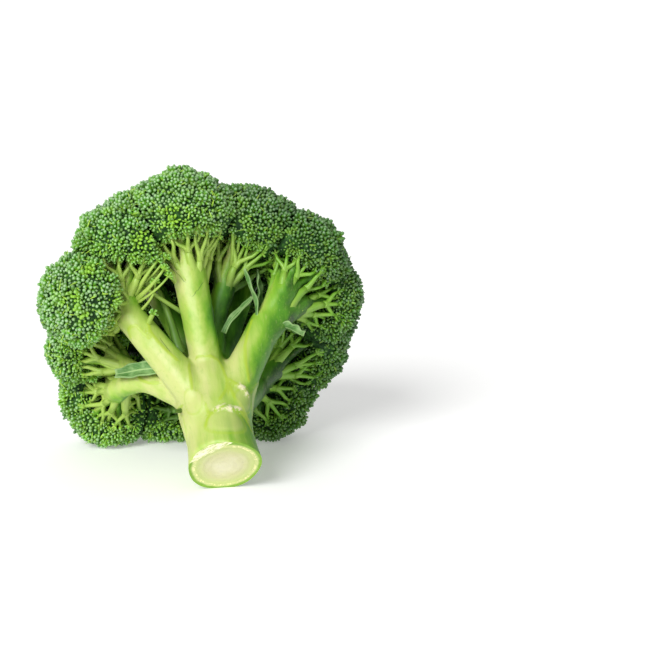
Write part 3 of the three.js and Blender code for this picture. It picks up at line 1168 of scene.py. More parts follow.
def bud_stamp() -> Stamp:
    """A plump bud of a few faces on a tapering neck, whose open end is out of sight."""
    shape = bmesh.new()
    bmesh.ops.create_uvsphere(shape, u_segments=5, v_segments=4, radius=0.5)
    bmesh.ops.translate(shape, verts=shape.verts, vec=(0, 0, 0.5))
    lowest = [corner for corner in shape.verts if corner.co.z < 0.01]
    bmesh.ops.delete(shape, geom=lowest, context="VERTS")
    for corner in shape.verts:
        if corner.co.z < 0.2:
            corner.co = (corner.co.x * 0.36, corner.co.y * 0.36, NECK_END)
        elif corner.co.z < 0.6:
            corner.co.z = 0.40
        elif corner.co.z < 0.9:
            corner.co = (corner.co.x * 1.08, corner.co.y * 1.08, 0.82)
    return Stamp(shape, "bud")


def stem_stamp(sides: int, steps: int) -> Stamp:
    """A straight thin stem, closed at both ends, with rings along it.

    Args:
        sides: how many sides it has.
        steps: how many lengths it is parted into.

    Returns:
        The stamp.
    """
    shape = bmesh.new()
    bmesh.ops.create_circle(shape, segments=sides, radius=1.0)
    edges = list(shape.edges)
    bmesh.ops.edgeloop_fill(shape, edges=edges)
    for _ in range(steps):
        drawn = bmesh.ops.extrude_edge_only(shape, edges=edges)["geom"]
        corners = [part for part in drawn if isinstance(part, bmesh.types.BMVert)]
        edges = [part for part in drawn if isinstance(part, bmesh.types.BMEdge)]
        bmesh.ops.translate(shape, verts=corners, vec=(0, 0, 1.0 / steps))
    bmesh.ops.edgeloop_fill(shape, edges=edges)
    bmesh.ops.recalc_face_normals(shape, faces=shape.faces)
    return Stamp(shape, "stem")


def bent(
    start: np.ndarray, leave: np.ndarray, end: np.ndarray, arrive: np.ndarray, share: np.ndarray
) -> np.ndarray:
    """Points along a curve that leaves one way and arrives another.

    Args:
        start: its first point.
        leave: the direction it leaves in.
        end: its last point.
        arrive: the direction it arrives in.
        share: how far along each wanted point is, from 0 to 1.

    Returns:
        One row for each wanted point.
    """
    reach = np.linalg.norm(end - start) * 0.4
    t = share[:, None]
    first = start + leave * reach
    last = end - arrive * reach
    return (1 - t) ** 3 * start + 3 * t * (1 - t) ** 2 * first + 3 * t * t * (1 - t) * last + t**3 * end


def unit(vector: np.ndarray) -> np.ndarray:
    """The vector at a length of 1."""
    return vector / (np.linalg.norm(vector) + TINY)


def unit_rows(vectors: np.ndarray) -> np.ndarray:
    """Each row at a length of 1."""
    return vectors / (np.linalg.norm(vectors, axis=1)[:, None] + TINY)


def basis_of(direction: np.ndarray) -> np.ndarray:
    """A square frame whose last column is the direction."""
    guide = np.array([0.0, 0.0, 1.0]) if abs(direction[2]) < 0.9 else np.array([1.0, 0.0, 0.0])
    side = unit(np.cross(guide, direction))
    return np.array([side, np.cross(direction, side), direction]).T


def spiral(count: int, lowest: float, random: np.random.Generator) -> np.ndarray:
    """Evenly spread directions round +Z.

    Args:
        count: how many.
        lowest: the least height of a direction, from -1 to 1.
        random: where the first turn comes from.

    Returns:
        One row for each direction.
    """
    step = np.arange(count)
    rise = 1 - (step + 0.5) / max(count, 1) * (1 - lowest)
    turn = random.uniform(0, 2 * math.pi) + step * GOLDEN_TURN
    ring = np.sqrt(1 - rise * rise)
    return np.stack([ring * np.cos(turn), ring * np.sin(turn), rise], axis=1)


class StemBundle:
    """Thin stems gathered in one mesh."""

    def __init__(self, sides: int, steps: int) -> None:
        """Starts an empty bundle of stems with that many sides and lengths."""
        self.stamp = stem_stamp(sides, steps)
        self.shape = bmesh.new()
        self.along: list[np.ndarray] = []

    def add(
        self,
        start: np.ndarray,
        leave: np.ndarray,
        end: np.ndarray,
        arrive: np.ndarray,
        thick: tuple[float, float],
        tint: tuple[float, float],
        flare: float = 0.0,
    ) -> None:
        """Adds a bent, tapered stem.

        Args:
            start: where it starts.
            leave: the direction it leaves in.
            end: where it ends.
            arrive: the direction it arrives in.
            thick: its radius at the start and at the end.
            tint: how far towards the buds its two ends are, from 0 to 1.
            flare: how much thicker its very start is, as a share.
        """
        corners = self.stamp.corners
        share = corners[:, 2]
        line = bent(start, leave, end, arrive, share)
        ahead = bent(start, leave, end, arrive, np.clip(share + 0.02, 0, 1.02))
        run = unit_rows(ahead - line)
        guide = unit(np.cross(unit(end - start), [0.31, 0.52, 0.79]))
        side = unit_rows(np.cross(run, guide))
        up = np.cross(side, run)
        radius = ((thick[0] + (thick[1] - thick[0]) * share) * (1 + flare * np.exp(-6 * share)))[:, None]
        moved = line + side * corners[:, :1] * radius + up * corners[:, 1:2] * radius
        moved[:, 2] = np.maximum(moved[:, 2], LOWEST)
        self.stamp.press(self.shape, moved)
        self.along.append(tint[0] + (tint[1] - tint[0]) * share)

    def finish(self, name: str) -> bpy.types.Object:
        """Turns the bundle into an object."""
        bmesh.ops.recalc_face_normals(self.shape, faces=self.shape.faces)
        mesh = to_mesh(self.shape, name)
        write_numbers(mesh, "along", np.concatenate(self.along))
        self.stamp.discard()
        return new_object(name, mesh)

    def discard(self) -> None:
        """Gives the bundle up."""
        self.shape.free()
        self.stamp.discard()


class BudField:
    """Buds gathered in one mesh, with what their finish needs to know about each."""

    def __init__(self, random: np.random.Generator, spacing: Spacing) -> None:
        """Starts an empty field, and keeps the spacing, which it doesn't use itself."""
        self.random = random
        self.spacing = spacing
        self.stamp = bud_stamp()
        self.shape = bmesh.new()
        self.tones_and_shades: list[float] = []
        self.ripes: list[float] = []

    def add(
        self,
        seat: np.ndarray,
        axis: np.ndarray,
        size: tuple[float, float],
        tone: float,
        ripe: float,
    ) -> None:
        """Adds a bud.

        Args:
            seat: the middle of its head.
            axis: the direction that it points in.
            size: the width and height of its head.
            tone: how light it is, from 0 to 1, which paints shade where it is low and also differs at random.
            ripe: how yellow it is, from 0 to 1.
        """
        width = size[0] * self.random.uniform(0.72, 1.2)
        height = size[1] * self.random.uniform(0.8, 1.2)
        corners = (self.stamp.corners - np.array([0, 0, 0.5])) * np.array([width, width, height])
        moved = corners @ basis_of(axis).T + seat
        low = moved[:, 2].min()
        if low < LOWEST:
            moved[:, 2] += LOWEST - low
        self.stamp.press(self.shape, moved)
        self.tones_and_shades.append(tone)
        self.ripes.append(ripe)

    def finish(self, name: str, core: Optional[bmesh.types.BMesh] = None) -> bpy.types.Object:
        """Turns the field into an object.

        Args:
            name: the object's name.
            core: a shape that the buds stand on, which gets the second material and is freed.

        Returns:
            The object.
        """
        bud_corners = len(self.shape.verts)
        bud_faces = len(self.shape.faces)
        if core is not None:
            under = to_mesh(core, "core")
            self.shape.from_mesh(under)
            bpy.data.meshes.remove(under)
            self.shape.faces.ensure_lookup_table()
            for face in self.shape.faces[bud_faces:]:
                face.material_index = 1
        mesh = to_mesh(self.shape, name)
        spare = np.zeros(len(mesh.vertices) - bud_corners)
        heights = (self.stamp.corners[:, 2] - NECK_END) / (1.0 - NECK_END)
        corners = len(heights)
        write_numbers(mesh, "along", np.concatenate([np.tile(heights, len(self.tones_and_shades)), spare]))
        write_numbers(mesh, "tone", np.concatenate([np.repeat(self.tones_and_shades, corners), spare]))
        write_numbers(mesh, "ripe", np.concatenate([np.repeat(self.ripes, corners), spare]))
        self.stamp.discard()
        return new_object(name, mesh)


@dataclass
class Cluster:
    """A tuft of buds that spread from one point.

    Attributes:
        root: the point that they spread from.
        outward: the way that the tuft faces.
        radius: how far its buds are from the root.
        mood: a chance number from 0 to 1, for its colour.
        lean: how far from the middle of the cap it is, in degrees.
    """

    root: np.ndarray
    outward: np.ndarray
    radius: float
    mood: float
    lean: float


@dataclass
class Floret:
    """One floret: a core painted dim as shade, the clusters of buds that cover it and the thin stalks below
    them.

    Lengths are in metres, leans in degrees from the way that the cap faces. A jitter is in
    millimetres, and what the arms, twigs and hubs are given is a share of the cap's radius.
    """

    plan: FloretPlan
    others: BVHTree
    stalk: BVHTree
    spacing: Spacing
    buds_material: bpy.types.Material
    shade_material: bpy.types.Material
    stalklet_material: bpy.types.Material
    seed: int
    voxel: float = 2.4 * MM
    core_sink: float = 2.3 * MM
    cluster_pitch: float = 6.4 * MM
    cluster_radius: float = 4.1 * MM
    cluster_sink: float = 3.6 * MM
    cluster_jitter: tuple[float, float] = (-0.5, 0.6)
    cluster_sizes: tuple[float, float] = (0.86, 1.12)
    seat_jitter: tuple[float, float] = (-0.6, 0.5)
    bud_overlap: float = 0.3 * MM
    near_reach: float = 2.4
    bud_packing: float = 0.78
    bud_width: float = 1.9 * MM
    bud_height: float = 2.05 * MM
    rim_size: float = 0.72
    filler_sink: float = 1.3 * MM
    filler_tries: int = 5
    strand_size: tuple[float, float] = (0.9 * MM, 1.9 * MM)
    strand_share: float = 0.22
    strand_lift: float = 0.5 * MM
    tuft_buds: int = 6
    tuft_lift: float = 0.6 * MM
    tuft_radius: float = 1.7 * MM
    widest_lean: float = 129.0
    filler_lean: float = 140.0
    shown_lean: float = 72.0
    twig_reach: float = 0.36
    dome_lean: float = 84.0
    stalk_gap: float = 1.3 * MM
    crease_reach: float = 8.5 * MM
    crease_lift: float = 0.44
    lift_lean: float = 4.0 * MM
    seam_gap: float = 0.3 * MM
    seam_depth: float = -1.2 * MM
    seam_share: float = 0.86
    bury_depth: float = -1.1 * MM
    arm_radius: tuple[float, float] = (3.1 * MM, 1.6 * MM)
    arm_depth: float = 3.7 * MM
    arm_below: tuple[float, float] = (0.18, 0.46)
    arm_height: tuple[float, float] = (0.56, 0.76)
    arm_spread: tuple[float, float] = (0.28, 0.46)
    twig_spread: tuple[float, float] = (0.42, 0.68)
    twig_height: float = 0.40
    twig_swing: float = 0.42
    twig_overlap: float = 1.2 * MM
    hub_height: float = 0.45
    hub_sink: float = 0.4 * MM
    rim_stalklets: int = 3
    inner_stalklets: int = 3
    inner_reach: float = 0.34
    stalklet_jitter: float = 1.1
    twig_radius: tuple[float, float] = (1.45 * MM, 0.75 * MM)
    pedicel_radius: tuple[float, float] = (0.60 * MM, 0.40 * MM)

    def __post_init__(self) -> None:
        """Works out the cap's middle and the way it faces."""
        self.random = np.random.default_rng(self.seed)
        self.middle = np.array(LIE.at(self.plan.at))
        self.fork = np.array(LIE.at(self.plan.fork))
        self.facing = unit(self.middle - self.fork)
        self.radius = self.plan.radius * MM

    def build(self) -> None:
        """Builds the floret's pieces and replaces its solid."""
        core = remeshed(merged_copy("floret_" + self.plan.name), self.voxel)
        smoothed(core, 3)
        clusters = self._clusters(core)
        low = [cluster for cluster in clusters if cluster.lean > self.shown_lean]
        bundle = StemBundle(sides=5, steps=4)
        hubs = self._arms(bundle, np.array([cluster.root for cluster in low]))
        self._buds(core, clusters, hubs)
        self._stalklets(bundle, low, hubs)

    def _clusters(self, core: bmesh.types.BMesh) -> list[Cluster]:
        """Spreads clusters over the open part of the cap.

        Args:
            core: the cap's smooth surface.

        Returns:
            The clusters.
        """
        faces = list(core.faces)
        spacing = Spacing(self.cluster_pitch)
        clusters = []
        for number in self.random.permutation(len(faces)):
            spot = np.array(faces[number].calc_center_median())
            radial, lean = self._lean(spot)
            outward = unit(np.array(faces[number].normal) * 0.7 + radial * 0.4)
            if lean > self.widest_lean:
                continue
            lift = self._room(spot, outward)
            if lift is None or not spacing.add(spot):
                continue
            sink = self.cluster_sink + self.random.uniform(*self.cluster_jitter) * MM
            clusters.append(
                Cluster(
                    root=spot - outward * sink + lift,
                    outward=unit(outward + lift / self.lift_lean),
                    radius=self.cluster_radius * self.random.uniform(*self.cluster_sizes),
                    mood=self.random.uniform(),
                    lean=lean,
                )
            )
        return clusters

    def _lean(self, spot: np.ndarray) -> tuple[np.ndarray, float]:
        """The way from the cap's middle to a point, and its angle from the cap's own, in degrees."""
        radial = unit(spot - self.middle)
        return radial, math.degrees(math.acos(np.clip(radial @ self.facing, -1, 1)))

    def _room(self, spot: np.ndarray, outward: np.ndarray) -> Optional[np.ndarray]:
        """How far a cluster is lifted out of a crease.

        Args:
            spot: where it would be on the cap.
            outward: the surface's direction there.

        Returns:
            The lift, or None where the cluster has no room.
        """
        probe = Vector(spot + outward * MM)
        if self.stalk.find_nearest(probe, self.stalk_gap)[0] is not None:
            return None
        point, normal, _, away = self.others.find_nearest(probe, self.crease_reach)
        if point is None:
            return np.zeros(3)
        clear = (probe - point).dot(normal)
        shown = np.linalg.norm(spot - self.middle) > self.seam_share * self.radius
        if clear < (self.seam_depth if shown else self.seam_gap):
            return None
        return unit(spot - HEART) * (self.crease_lift * (self.crease_reach - away))

    def _buds(self, core: bmesh.types.BMesh, clusters: list[Cluster], hubs: list[Hub]) -> None:
        """Covers the core with the clusters' buds.

        Args:
            core: the cap's smooth surface, which is sunk and joined to the buds.
            clusters: the clusters.
            hubs: the ends of the thin branches.
        """
        buds = BudField(self.random, self.spacing)
        roots = np.array([cluster.root for cluster in clusters])
        lowest = math.cos(math.radians(self.dome_lean))
        for cluster in clusters:
            gap = np.linalg.norm(roots - cluster.root, axis=1)
            beside = (gap > 0) & (gap < self.near_reach * self.cluster_radius)
            near = [clusters[j] for j in np.nonzero(beside)[0]]
            area = 2 * math.pi * cluster.radius**2 * (1 - lowest)
            count = int(area / (self.bud_packing * self.spacing.pitch**2))
            directions = spiral(count, lowest, self.random)
            for direction in directions @ basis_of(cluster.outward).T:
                direction = unit(direction + self.random.normal(0, 0.08, 3))
                jitter = self.random.uniform(*self.seat_jitter) * MM
                seat = cluster.root + direction * (cluster.radius + jitter)
                if any(np.linalg.norm(seat - other.root) < other.radius - self.bud_overlap for other in near):
                    continue
                if self._buried(seat) or not self.spacing.add(seat):
                    continue
                rise = direction @ cluster.outward
                # A bud low on the side of its tuft gets less lightness: painted shade in the crease; the mood
                # and the noise vary it at random.
                tone = 0.30 + 0.6 * rise + 0.9 * (cluster.mood - 0.5) + self.random.normal(0, 0.18)
                axis = unit(direction * 0.8 + cluster.outward * 0.3 + self.random.normal(0, 0.2, 3))
                scale = 1 - (1 - self.rim_size) * between(cluster.lean, 74, 108)
                size = (self.bud_width * scale, self.bud_height)
                buds.add(seat, axis, size, float(np.clip(tone, 0, 1)), self._ripeness(seat, rise, cluster))
        if self.plan.arms:
            self._tufts(hubs, buds)
        self._filler(core, buds)
        for corner in core.verts:
            away = self.others.find_nearest(corner.co, self.crease_reach)[3]
            sink = self.core_sink * (1.0 if away is None else away / self.crease_reach)
            corner.co -= corner.normal * sink
        piece = buds.finish("buds_" + self.plan.name, core)
        materials = [self.buds_material, self.shade_material]
        finish_piece(piece, materials, ["floret_" + self.plan.name])
        LOG.info("  %d clusters, %d buds", len(clusters), len(buds.tones_and_shades))

    def _tufts(self, hubs: list[Hub], buds: BudField) -> None:
        """Ends each thin branch in a few small young buds."""
        size = (self.bud_width * self.rim_size, self.bud_height * self.rim_size)
        for end, arrive in hubs:
            for direction in spiral(self.tuft_buds, 0.0, self.random) @ basis_of(arrive).T:
                seat = end + arrive * self.tuft_lift + direction * self.tuft_radius
                if self.spacing.add(seat):
                    buds.add(seat, direction, size, 0.8, float(self.random.uniform(0.2, 0.8)))

    def _filler(self, core: bmesh.types.BMesh, buds: BudField) -> None:
        """Fills the bare places between the clusters with single buds.

        Args:
            core: the cap's smooth surface.
            buds: the field that the buds are added to.
        """
        strands = Spacing(self.spacing.pitch * 1.4)
        for face in core.faces:
            centre = np.array(face.calc_center_median())
            outward = np.array(face.normal)
            radial, lean = self._lean(centre)
            lift = self._room(centre, outward)
            if lean > self.filler_lean or lift is None:
                continue
            sideways = basis_of(outward)
            for shift in self.random.uniform(-0.6, 0.6, (self.filler_tries, 2)) * self.voxel:
                sink = self.filler_sink + self.random.uniform(-0.3, 0.3) * MM
                seat = centre + sideways[:, :2] @ shift - outward * sink + lift
                ripe = float(np.clip(self.random.normal(0.22, 0.15), 0, 1))
                if self.spacing.add(seat):
                    axis = unit(outward + radial + self.random.normal(0, 0.25, 3))
                    # Filler buds between the clusters get little lightness: painted shade between the tufts.
                    tone = self.random.uniform(0.1, 0.5)
                    buds.add(seat, axis, (self.bud_width, self.bud_height), tone, ripe)
            if self.random.uniform() < self.strand_share:
                seat = centre + outward * (self.strand_lift - self.filler_sink) + lift
                if strands.add(seat):
                    axis = unit(outward * 0.6 + self.random.normal(0, 0.6, 3))
                    buds.add(seat, axis, self.strand_size, 0.9, self.random.uniform(0.75, 1.0))

    def _buried(self, seat: np.ndarray) -> bool:
        """Whether a bud would sit inside a neighbouring cap."""
        point, normal, _, _ = self.others.find_nearest(Vector(seat), 4 * MM)
        return point is not None and (Vector(seat) - point).dot(normal) < self.bury_depth

    def _ripeness(self, seat: np.ndarray, rise: float, cluster: Cluster) -> float:
        """How yellow a bud is: more so at the rim, in the creases and in the ripe patches."""
        rim = between(cluster.lean, 80, 116)
        crease = between(rise, 0.6, 0.1)
        odd = 0.35 if cluster.mood > 0.90 else 0.0
        ripe = 0.45 * rim + 0.35 * crease + odd + self.random.normal(0, 0.10)
        for place, reach in RIPE_PATCHES:
            away = np.linalg.norm(seat - np.array(LIE.at(place))) / (reach * MM)
            ripe += 1.1 * float(np.clip(1.4 - away, 0, 1))
        return float(np.clip(ripe, 0, 1))

    def _stalklets(self, bundle: StemBundle, low: list[Cluster], hubs: list[Hub]) -> None:
        """Fans thin stalks from the thin branches to the clusters of the rim.

        Args:
            bundle: where they are added.
            low: the clusters of the rim.
            hubs: the ends of the thin branches.
        """
        for cluster in low:
            hub, way = self._hub(hubs, cluster.root)
            for _ in range(self.rim_stalklets if self.plan.arms else 1):
                end = cluster.root + self.random.normal(0, self.stalklet_jitter, 3) * MM
                leave = unit(way + self.random.normal(0, 0.3, 3))
                arrive = unit(cluster.outward + 0.6 * unit(end - hub) + self.random.normal(0, 0.15, 3))
                bundle.add(hub, leave, end, arrive, self.pedicel_radius, (0.35, 1.0))
        count = self.inner_stalklets * self.plan.arms
        for direction in spiral(count, 0.5, self.random) @ basis_of(-self.facing).T:
            end = self.middle + direction * (self.inner_reach * self.radius)
            hub, way = self._hub(hubs, end)
            leave = unit(way + self.random.normal(0, 0.2, 3))
            bundle.add(hub, leave, end, self.facing, self.pedicel_radius, (0.3, 0.9))
        if not bundle.along:
            bundle.discard()
            return
        piece = bundle.finish("stalklets_" + self.plan.name)
        finish_piece(piece, [self.stalklet_material])

    def _arms(self, bundle: StemBundle, ends: np.ndarray) -> list[Hub]:
        """Adds the thin branches round the fork, each parting into up to three twigs.

        Args:
            bundle: where they are added.
            ends: the roots of the clusters that they lead to.

        Returns:
            The end of each twig and the direction it arrives in.
        """
        lone_hub = (self.middle - self.facing * (self.hub_height * self.radius), self.facing)
        if not self.plan.arms or not len(ends):
            return [lone_hub]
        hubs: list[Hub] = []
        cap_frame = basis_of(self.facing)
        for k in range(self.plan.arms):
            turn = (k + self.random.uniform(-0.3, 0.3)) / self.plan.arms * 2 * math.pi
            outward = cap_frame @ np.array([math.cos(turn), math.sin(turn), 0.0])
            below = self.random.uniform(*self.arm_below) * self.radius
            beside = self.fork - self.facing * below + outward * (self.plan.stem * MM)
            on_stem, normal, _, _ = self.stalk.find_nearest(Vector(beside))
            start = np.array(on_stem - normal * self.arm_depth)
            height = self.random.uniform(*self.arm_height) * self.radius
            spread = self.random.uniform(*self.arm_spread) * self.radius
            node = self.middle - self.facing * height + outward * spread
            leave = unit(self.facing + outward * self.random.uniform(0.0, 0.15))
            way = unit(self.facing + outward * self.random.uniform(0.25, 0.6))
            twigs = []
            for aside in (-1, 0, 1):
                swing = cap_frame @ np.array([-math.sin(turn), math.cos(turn), 0.0]) * aside
                out = self.random.uniform(*self.twig_spread) * self.radius
                aim = unit(outward + swing * self.twig_swing)
                end = self.middle - self.facing * (self.twig_height * self.radius) + aim * out
                arrive = unit(self.facing + outward * self.random.uniform(0.3, 0.8) + swing * 0.2)
                if np.linalg.norm(ends - end, axis=1).min() < self.twig_reach * self.radius:
                    twigs.append((end, arrive))
            if twigs:
                bundle.add(start, leave, node, way, self.arm_radius, (0.0, 0.4))
            for end, arrive in twigs:
                fork = node - way * self.twig_overlap
                bundle.add(fork, way, end, arrive, self.twig_radius, (0.3, 0.5), flare=0.3)
                hubs.append((end - arrive * self.hub_sink, arrive))
        return hubs or [lone_hub]

    @staticmethod
    def _hub(hubs: list[Hub], end: np.ndarray) -> Hub:
        """The branch end that is nearest to a point."""
        return min(hubs, key=lambda hub: np.linalg.norm(hub[0] - end))


@dataclass(frozen=True)
class SprigPlan:
    """One loose little stalk.

    Attributes:
        root: where it starts.
        middle: a place that it leans towards on its way.
        tip: where it ends.
        thick: its radius at the root and at the tip, in millimetres.
        buds: how many buds spread from its tip.
    """

    root: Place
    middle: Place
    tip: Place
    thick: tuple[float, float]
    buds: int = 0


SPRIGS = (
    SprigPlan((314, 43.5, 84.0), (326.8, 53.5, 84.6), (333.4, 54.5, 88.5), (1.4, 0.6), 12),
    SprigPlan((314, 43.5, 82.0), (327, 50.5, 78.5), (335.3, 51.5, 84.8), (1.3, 0.6), 13),
    SprigPlan((315, 43, 80.0), (328, 47, 78), (335.7, 47.5, 82.9), (0.7, 0.5), 9),
    SprigPlan((316, 41, 79), (324, 44, 78), (326.9, 46.5, 83.4), (0.7, 0.5), 8),
    SprigPlan((314, 45, 86), (320, 53, 86), (328.5, 55.5, 90.5), (0.75, 0.5), 12),
    SprigPlan((315, 45, 86), (330, 51, 84), (337.4, 53, 90), (0.7, 0.5), 10),
    SprigPlan((28, 29, 97), (20, 42, 100), (16, 52, 105), (1.2, 0.7), 14),
    SprigPlan((28, 29, 97), (24, 42, 102), (21, 52, 107.5), (1.2, 0.7), 14),
    SprigPlan((323.5, 21.7, 58.9), (321, 28, 76), (319.3, 34.1, 91.9), (2.2, 1.4)),
    SprigPlan((338, 27, 76), (324, 38, 80), (317.6, 46.0, 86.5), (1.1, 0.9)),
    SprigPlan((312.1, 39.2, 69.0), (316, 42, 68), (319.9, 43.4, 68.4), (1.3, 1.1), 7),
    SprigPlan((283.1, 16.5, 32.5), (289, 21, 29.5), (294.5, 23.4, 27.0), (1.2, 1.0)),
)


@dataclass
class Sprigs:
    """The loose little stalks among the limbs, some with a few buds of their own."""

    stalk: BVHTree
    spacing: Spacing
    buds_material: bpy.types.Material
    stalklet_material: bpy.types.Material
    seed: int = 77
    depth: float = 1.2 * MM
    spread: float = 2.2 * MM
    bud_size: tuple[float, float] = (1.35 * MM, 1.5 * MM)
    hair_radius: tuple[float, float] = (0.5 * MM, 0.4 * MM)

    def build(self) -> None:
        """Builds the stalks and their buds."""
        random = np.random.default_rng(self.seed)
        bundle = StemBundle(sides=8, steps=10)
        buds = BudField(random, self.spacing)
        for plan in SPRIGS:
            root, middle, tip = (np.array(LIE.at(place)) for place in (plan.root, plan.middle, plan.tip))
            on_stalk, normal, _, _ = self.stalk.find_nearest(Vector(root))
            root = np.array(on_stalk - normal * self.depth)
            arrive = unit(tip - middle)
            thick = (plan.thick[0] * MM, plan.thick[1] * MM)
            tint = (0.0, 0.6) if plan.buds else (0.2, 0.5)
            bundle.add(root, unit(middle - root), tip, arrive, thick, tint, flare=0.25)
            for direction in spiral(plan.buds, 0.1, random) @ basis_of(arrive).T:
                seat = tip + direction * self.spread
                inside = tip - arrive * self.hair_radius[0]
                bundle.add(inside, arrive, seat, direction, self.hair_radius, (0.6, 1.0))
                buds.add(seat, direction, self.bud_size, 0.8, float(random.uniform(0.1, 0.6)))
        finish_piece(bundle.finish("sprig_stalks"), [self.stalklet_material])
        finish_piece(buds.finish("sprig_buds"), [self.buds_material])


@dataclass(frozen=True)
class LeafPlan:
    """One trimmed leaf.

    Attributes:
        name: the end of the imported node's name.
        root: where it starts.
        tip: where it ends.
        wide: its greatest width, in millimetres.
        face: the direction that its upper side faces, as a place from the foot.
    """

    name: str
    root: Place
    tip: Place
    wide: float
    face: Place


LEAVES = (
    LeafPlan("left", (287, 25.5, 56), (266, 44.5, 63.5), 7.5, (335, 1, -0.3)),
    LeafPlan("fork", (44, 32, 70), (27, 42, 92), 4.6, (90, 1, 0)),
    LeafPlan("fork_inner", (54, 31, 82), (46, 39, 101), 5.6, (60, 1, 0)),
    LeafPlan("sliver", (23, 19.5, 68), (44, 34, 85), 3.6, (330, 1, 0)),
    LeafPlan("right", (58, 41, 67), (66, 50, 62), 7.0, (0, 0.3, 1)),
)


@dataclass
class Leaf:
    """A thin, cupped and waved leaf blade along a curve."""

    plan: LeafPlan
    material: bpy.types.Material
    thickness: float = 0.7 * MM
    curl: float = 0.2
    columns: int = 12
    rows: int = 28

    def build(self) -> bpy.types.Object:
        """Builds the leaf and replaces its solid.

        Returns:
            The finished piece.
        """
        shape = bmesh.new()
        bmesh.ops.create_grid(shape, x_segments=self.columns, y_segments=self.rows, size=0.5)
        shape.verts.ensure_lookup_table()
        flat = np.array([corner.co[:] for corner in shape.verts])
        across = flat[:, 0] * 2
        along = flat[:, 1] + 0.5
        for corner, point in zip(shape.verts, self._laid(across, along)):
            corner.co = point
        mesh = to_mesh(shape, "blade_" + self.plan.name)
        write_numbers(mesh, "across", across)
        write_numbers(mesh, "along", along)
        piece = new_object("blade_" + self.plan.name, mesh)
        thicken = piece.modifiers.new("thickness", "SOLIDIFY")
        thicken.thickness = self.thickness
        thicken.offset = 0.0
        return finish_piece(piece, [self.material], ["leaf_" + self.plan.name])

    def _laid(self, across: np.ndarray, along: np.ndarray) -> np.ndarray:
        """Points of the blade.

        Args:
            across: from -1 to 1 over its width.
            along: from 0 to 1 from its root to its tip.

        Returns:
            One row for each point.
        """
        root = np.array(LIE.at(self.plan.root))
        tip = np.array(LIE.at(self.plan.tip))
        face = unit(np.array(LIE.turn @ LIE.upright(self.plan.face)))
        reach = unit(tip - root)
        leave = unit(reach + face * 0.5)
        line = bent(root, leave, tip, reach, along)
        run = unit_rows(bent(root, leave, tip, reach, along + 0.01) - line)
        side = unit_rows(np.cross(face, run))
        front = np.cross(run, side)
        wide = self.plan.wide * MM * (0.45 + 0.55 * np.sin(math.pi * np.minimum(1, 0.15 + along * 0.8)))
        ripple = 0.09 * np.sin(along * 15 + across * 2) * np.abs(across) ** 2
        lift = self.plan.wide * MM * (self.curl * across**2 + ripple)
        return line + side * (across * 0.5 * wide)[:, None] + front * lift[:, None]


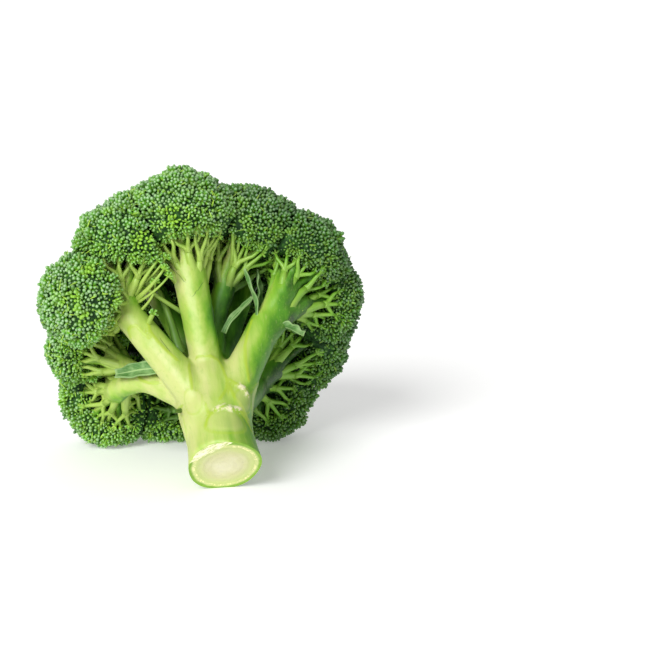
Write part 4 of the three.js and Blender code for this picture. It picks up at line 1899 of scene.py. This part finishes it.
@dataclass
class Studio:
    """The pale surface, the soft lights and the camera."""

    distance: float = 1.0
    elevation: float = 12.0
    pixels_per_mm: float = 2.135
    photo_pixels: float = 650.0
    sensor: float = 36.0
    foot_right: float = -100.0
    foot_down: float = -141.0
    room: float = 0.38
    floor_reach: float = 16.0

    def build(self) -> None:
        """Builds the stage."""
        self._camera()
        self._surface()
        self._sun("key", (-0.52, -0.90, 0.64), 3.0, 34.0)
        self._sun("fill", (0.85, -0.30, 0.45), 0.08, 60.0)
        self._sun("back", (-0.10, 0.75, 0.90), 0.4, 60.0)
        self._world()

    def _camera(self) -> None:
        """Places the camera as the photograph was taken, with the cut end where the photo has it."""
        tilt = math.radians(self.elevation)
        ahead = Vector((0, math.cos(tilt), -math.sin(tilt)))
        up = Vector((0, math.sin(tilt), math.cos(tilt)))
        right = Vector((1, 0, 0))
        scale = MM / self.pixels_per_mm
        aim = LIE.foot - right * (self.foot_right * scale) - up * (self.foot_down * scale)
        data = bpy.data.cameras.new("camera")
        data.sensor_width = self.sensor
        data.lens = self.sensor * self.distance / (self.photo_pixels * scale)
        data.clip_end = 2 * self.floor_reach
        camera = bpy.data.objects.new("camera", data)
        camera.matrix_world = Matrix.Translation(aim - ahead * self.distance) @ Matrix(
            (right, up, -ahead)
        ).transposed().to_4x4()
        bpy.context.scene.collection.objects.link(camera)
        bpy.context.scene.camera = camera

    def _surface(self) -> None:
        """Lays the pale surface."""
        shape = bmesh.new()
        bmesh.ops.create_grid(shape, x_segments=2, y_segments=2, size=self.floor_reach)
        floor = new_object("pale_surface", to_mesh(shape, "pale_surface", smooth=False))
        floor.data.materials.append(SurfaceFinish().make())

    @staticmethod
    def _sun(name: str, place: tuple[float, float, float], strength: float, softness: float) -> None:
        """Adds an even light from a wide soft source.

        Args:
            name: its name.
            place: the direction that it shines from.
            strength: its strength.
            softness: how wide its source looks, in degrees.
        """
        data = bpy.data.lights.new(name, "SUN")
        data.energy = strength
        data.angle = math.radians(softness)
        light = bpy.data.objects.new(name, data)
        light.matrix_world = Vector(place).to_track_quat("Z", "Y").to_matrix().to_4x4()
        bpy.context.scene.collection.objects.link(light)

    def _world(self) -> None:
        """Fills the room with even white light."""
        world = bpy.data.worlds.new("room")
        world.use_nodes = True
        background = world.node_tree.nodes["Background"]
        background.inputs["Color"].default_value = (1.0, 1.0, 1.0, 1.0)
        background.inputs["Strength"].default_value = self.room
        bpy.context.scene.world = world
        bpy.context.scene.view_settings.view_transform = "Standard"


def tree_of(shapes: Iterable[bmesh.types.BMesh]) -> BVHTree:
    """One search tree over several bmeshes, which are freed."""
    together = bmesh.new()
    for shape in shapes:
        mesh = to_mesh(shape, "part")
        together.from_mesh(mesh)
        bpy.data.meshes.remove(mesh)
    tree = BVHTree.FromBMesh(together)
    together.free()
    return tree


def main() -> None:
    """Builds the stage and the head, piece by piece."""
    logging.basicConfig(level=logging.INFO, format="%(message)s")
    Studio().build()
    Stalk().build()
    buds = BudFinish().make()
    shade = ShadeFinish().make()
    stalklets = StalkletFinish().make()
    stalk = tree_of([merged_copy("stalk")])
    spacing = Spacing(BUD_PITCH)
    for number, plan in enumerate(FLORETS):
        others = tree_of(merged_copy("floret_" + other.name) for other in FLORETS if other is not plan)
        Floret(plan, others, stalk, spacing, buds, shade, stalklets, seed=number + 1).build()
    Sprigs(stalk, spacing, buds, stalklets).build()
    leaf = LeafFinish().make()
    for plan in LEAVES:
        Leaf(plan, leaf).build()


if __name__ == "__main__":
    main()
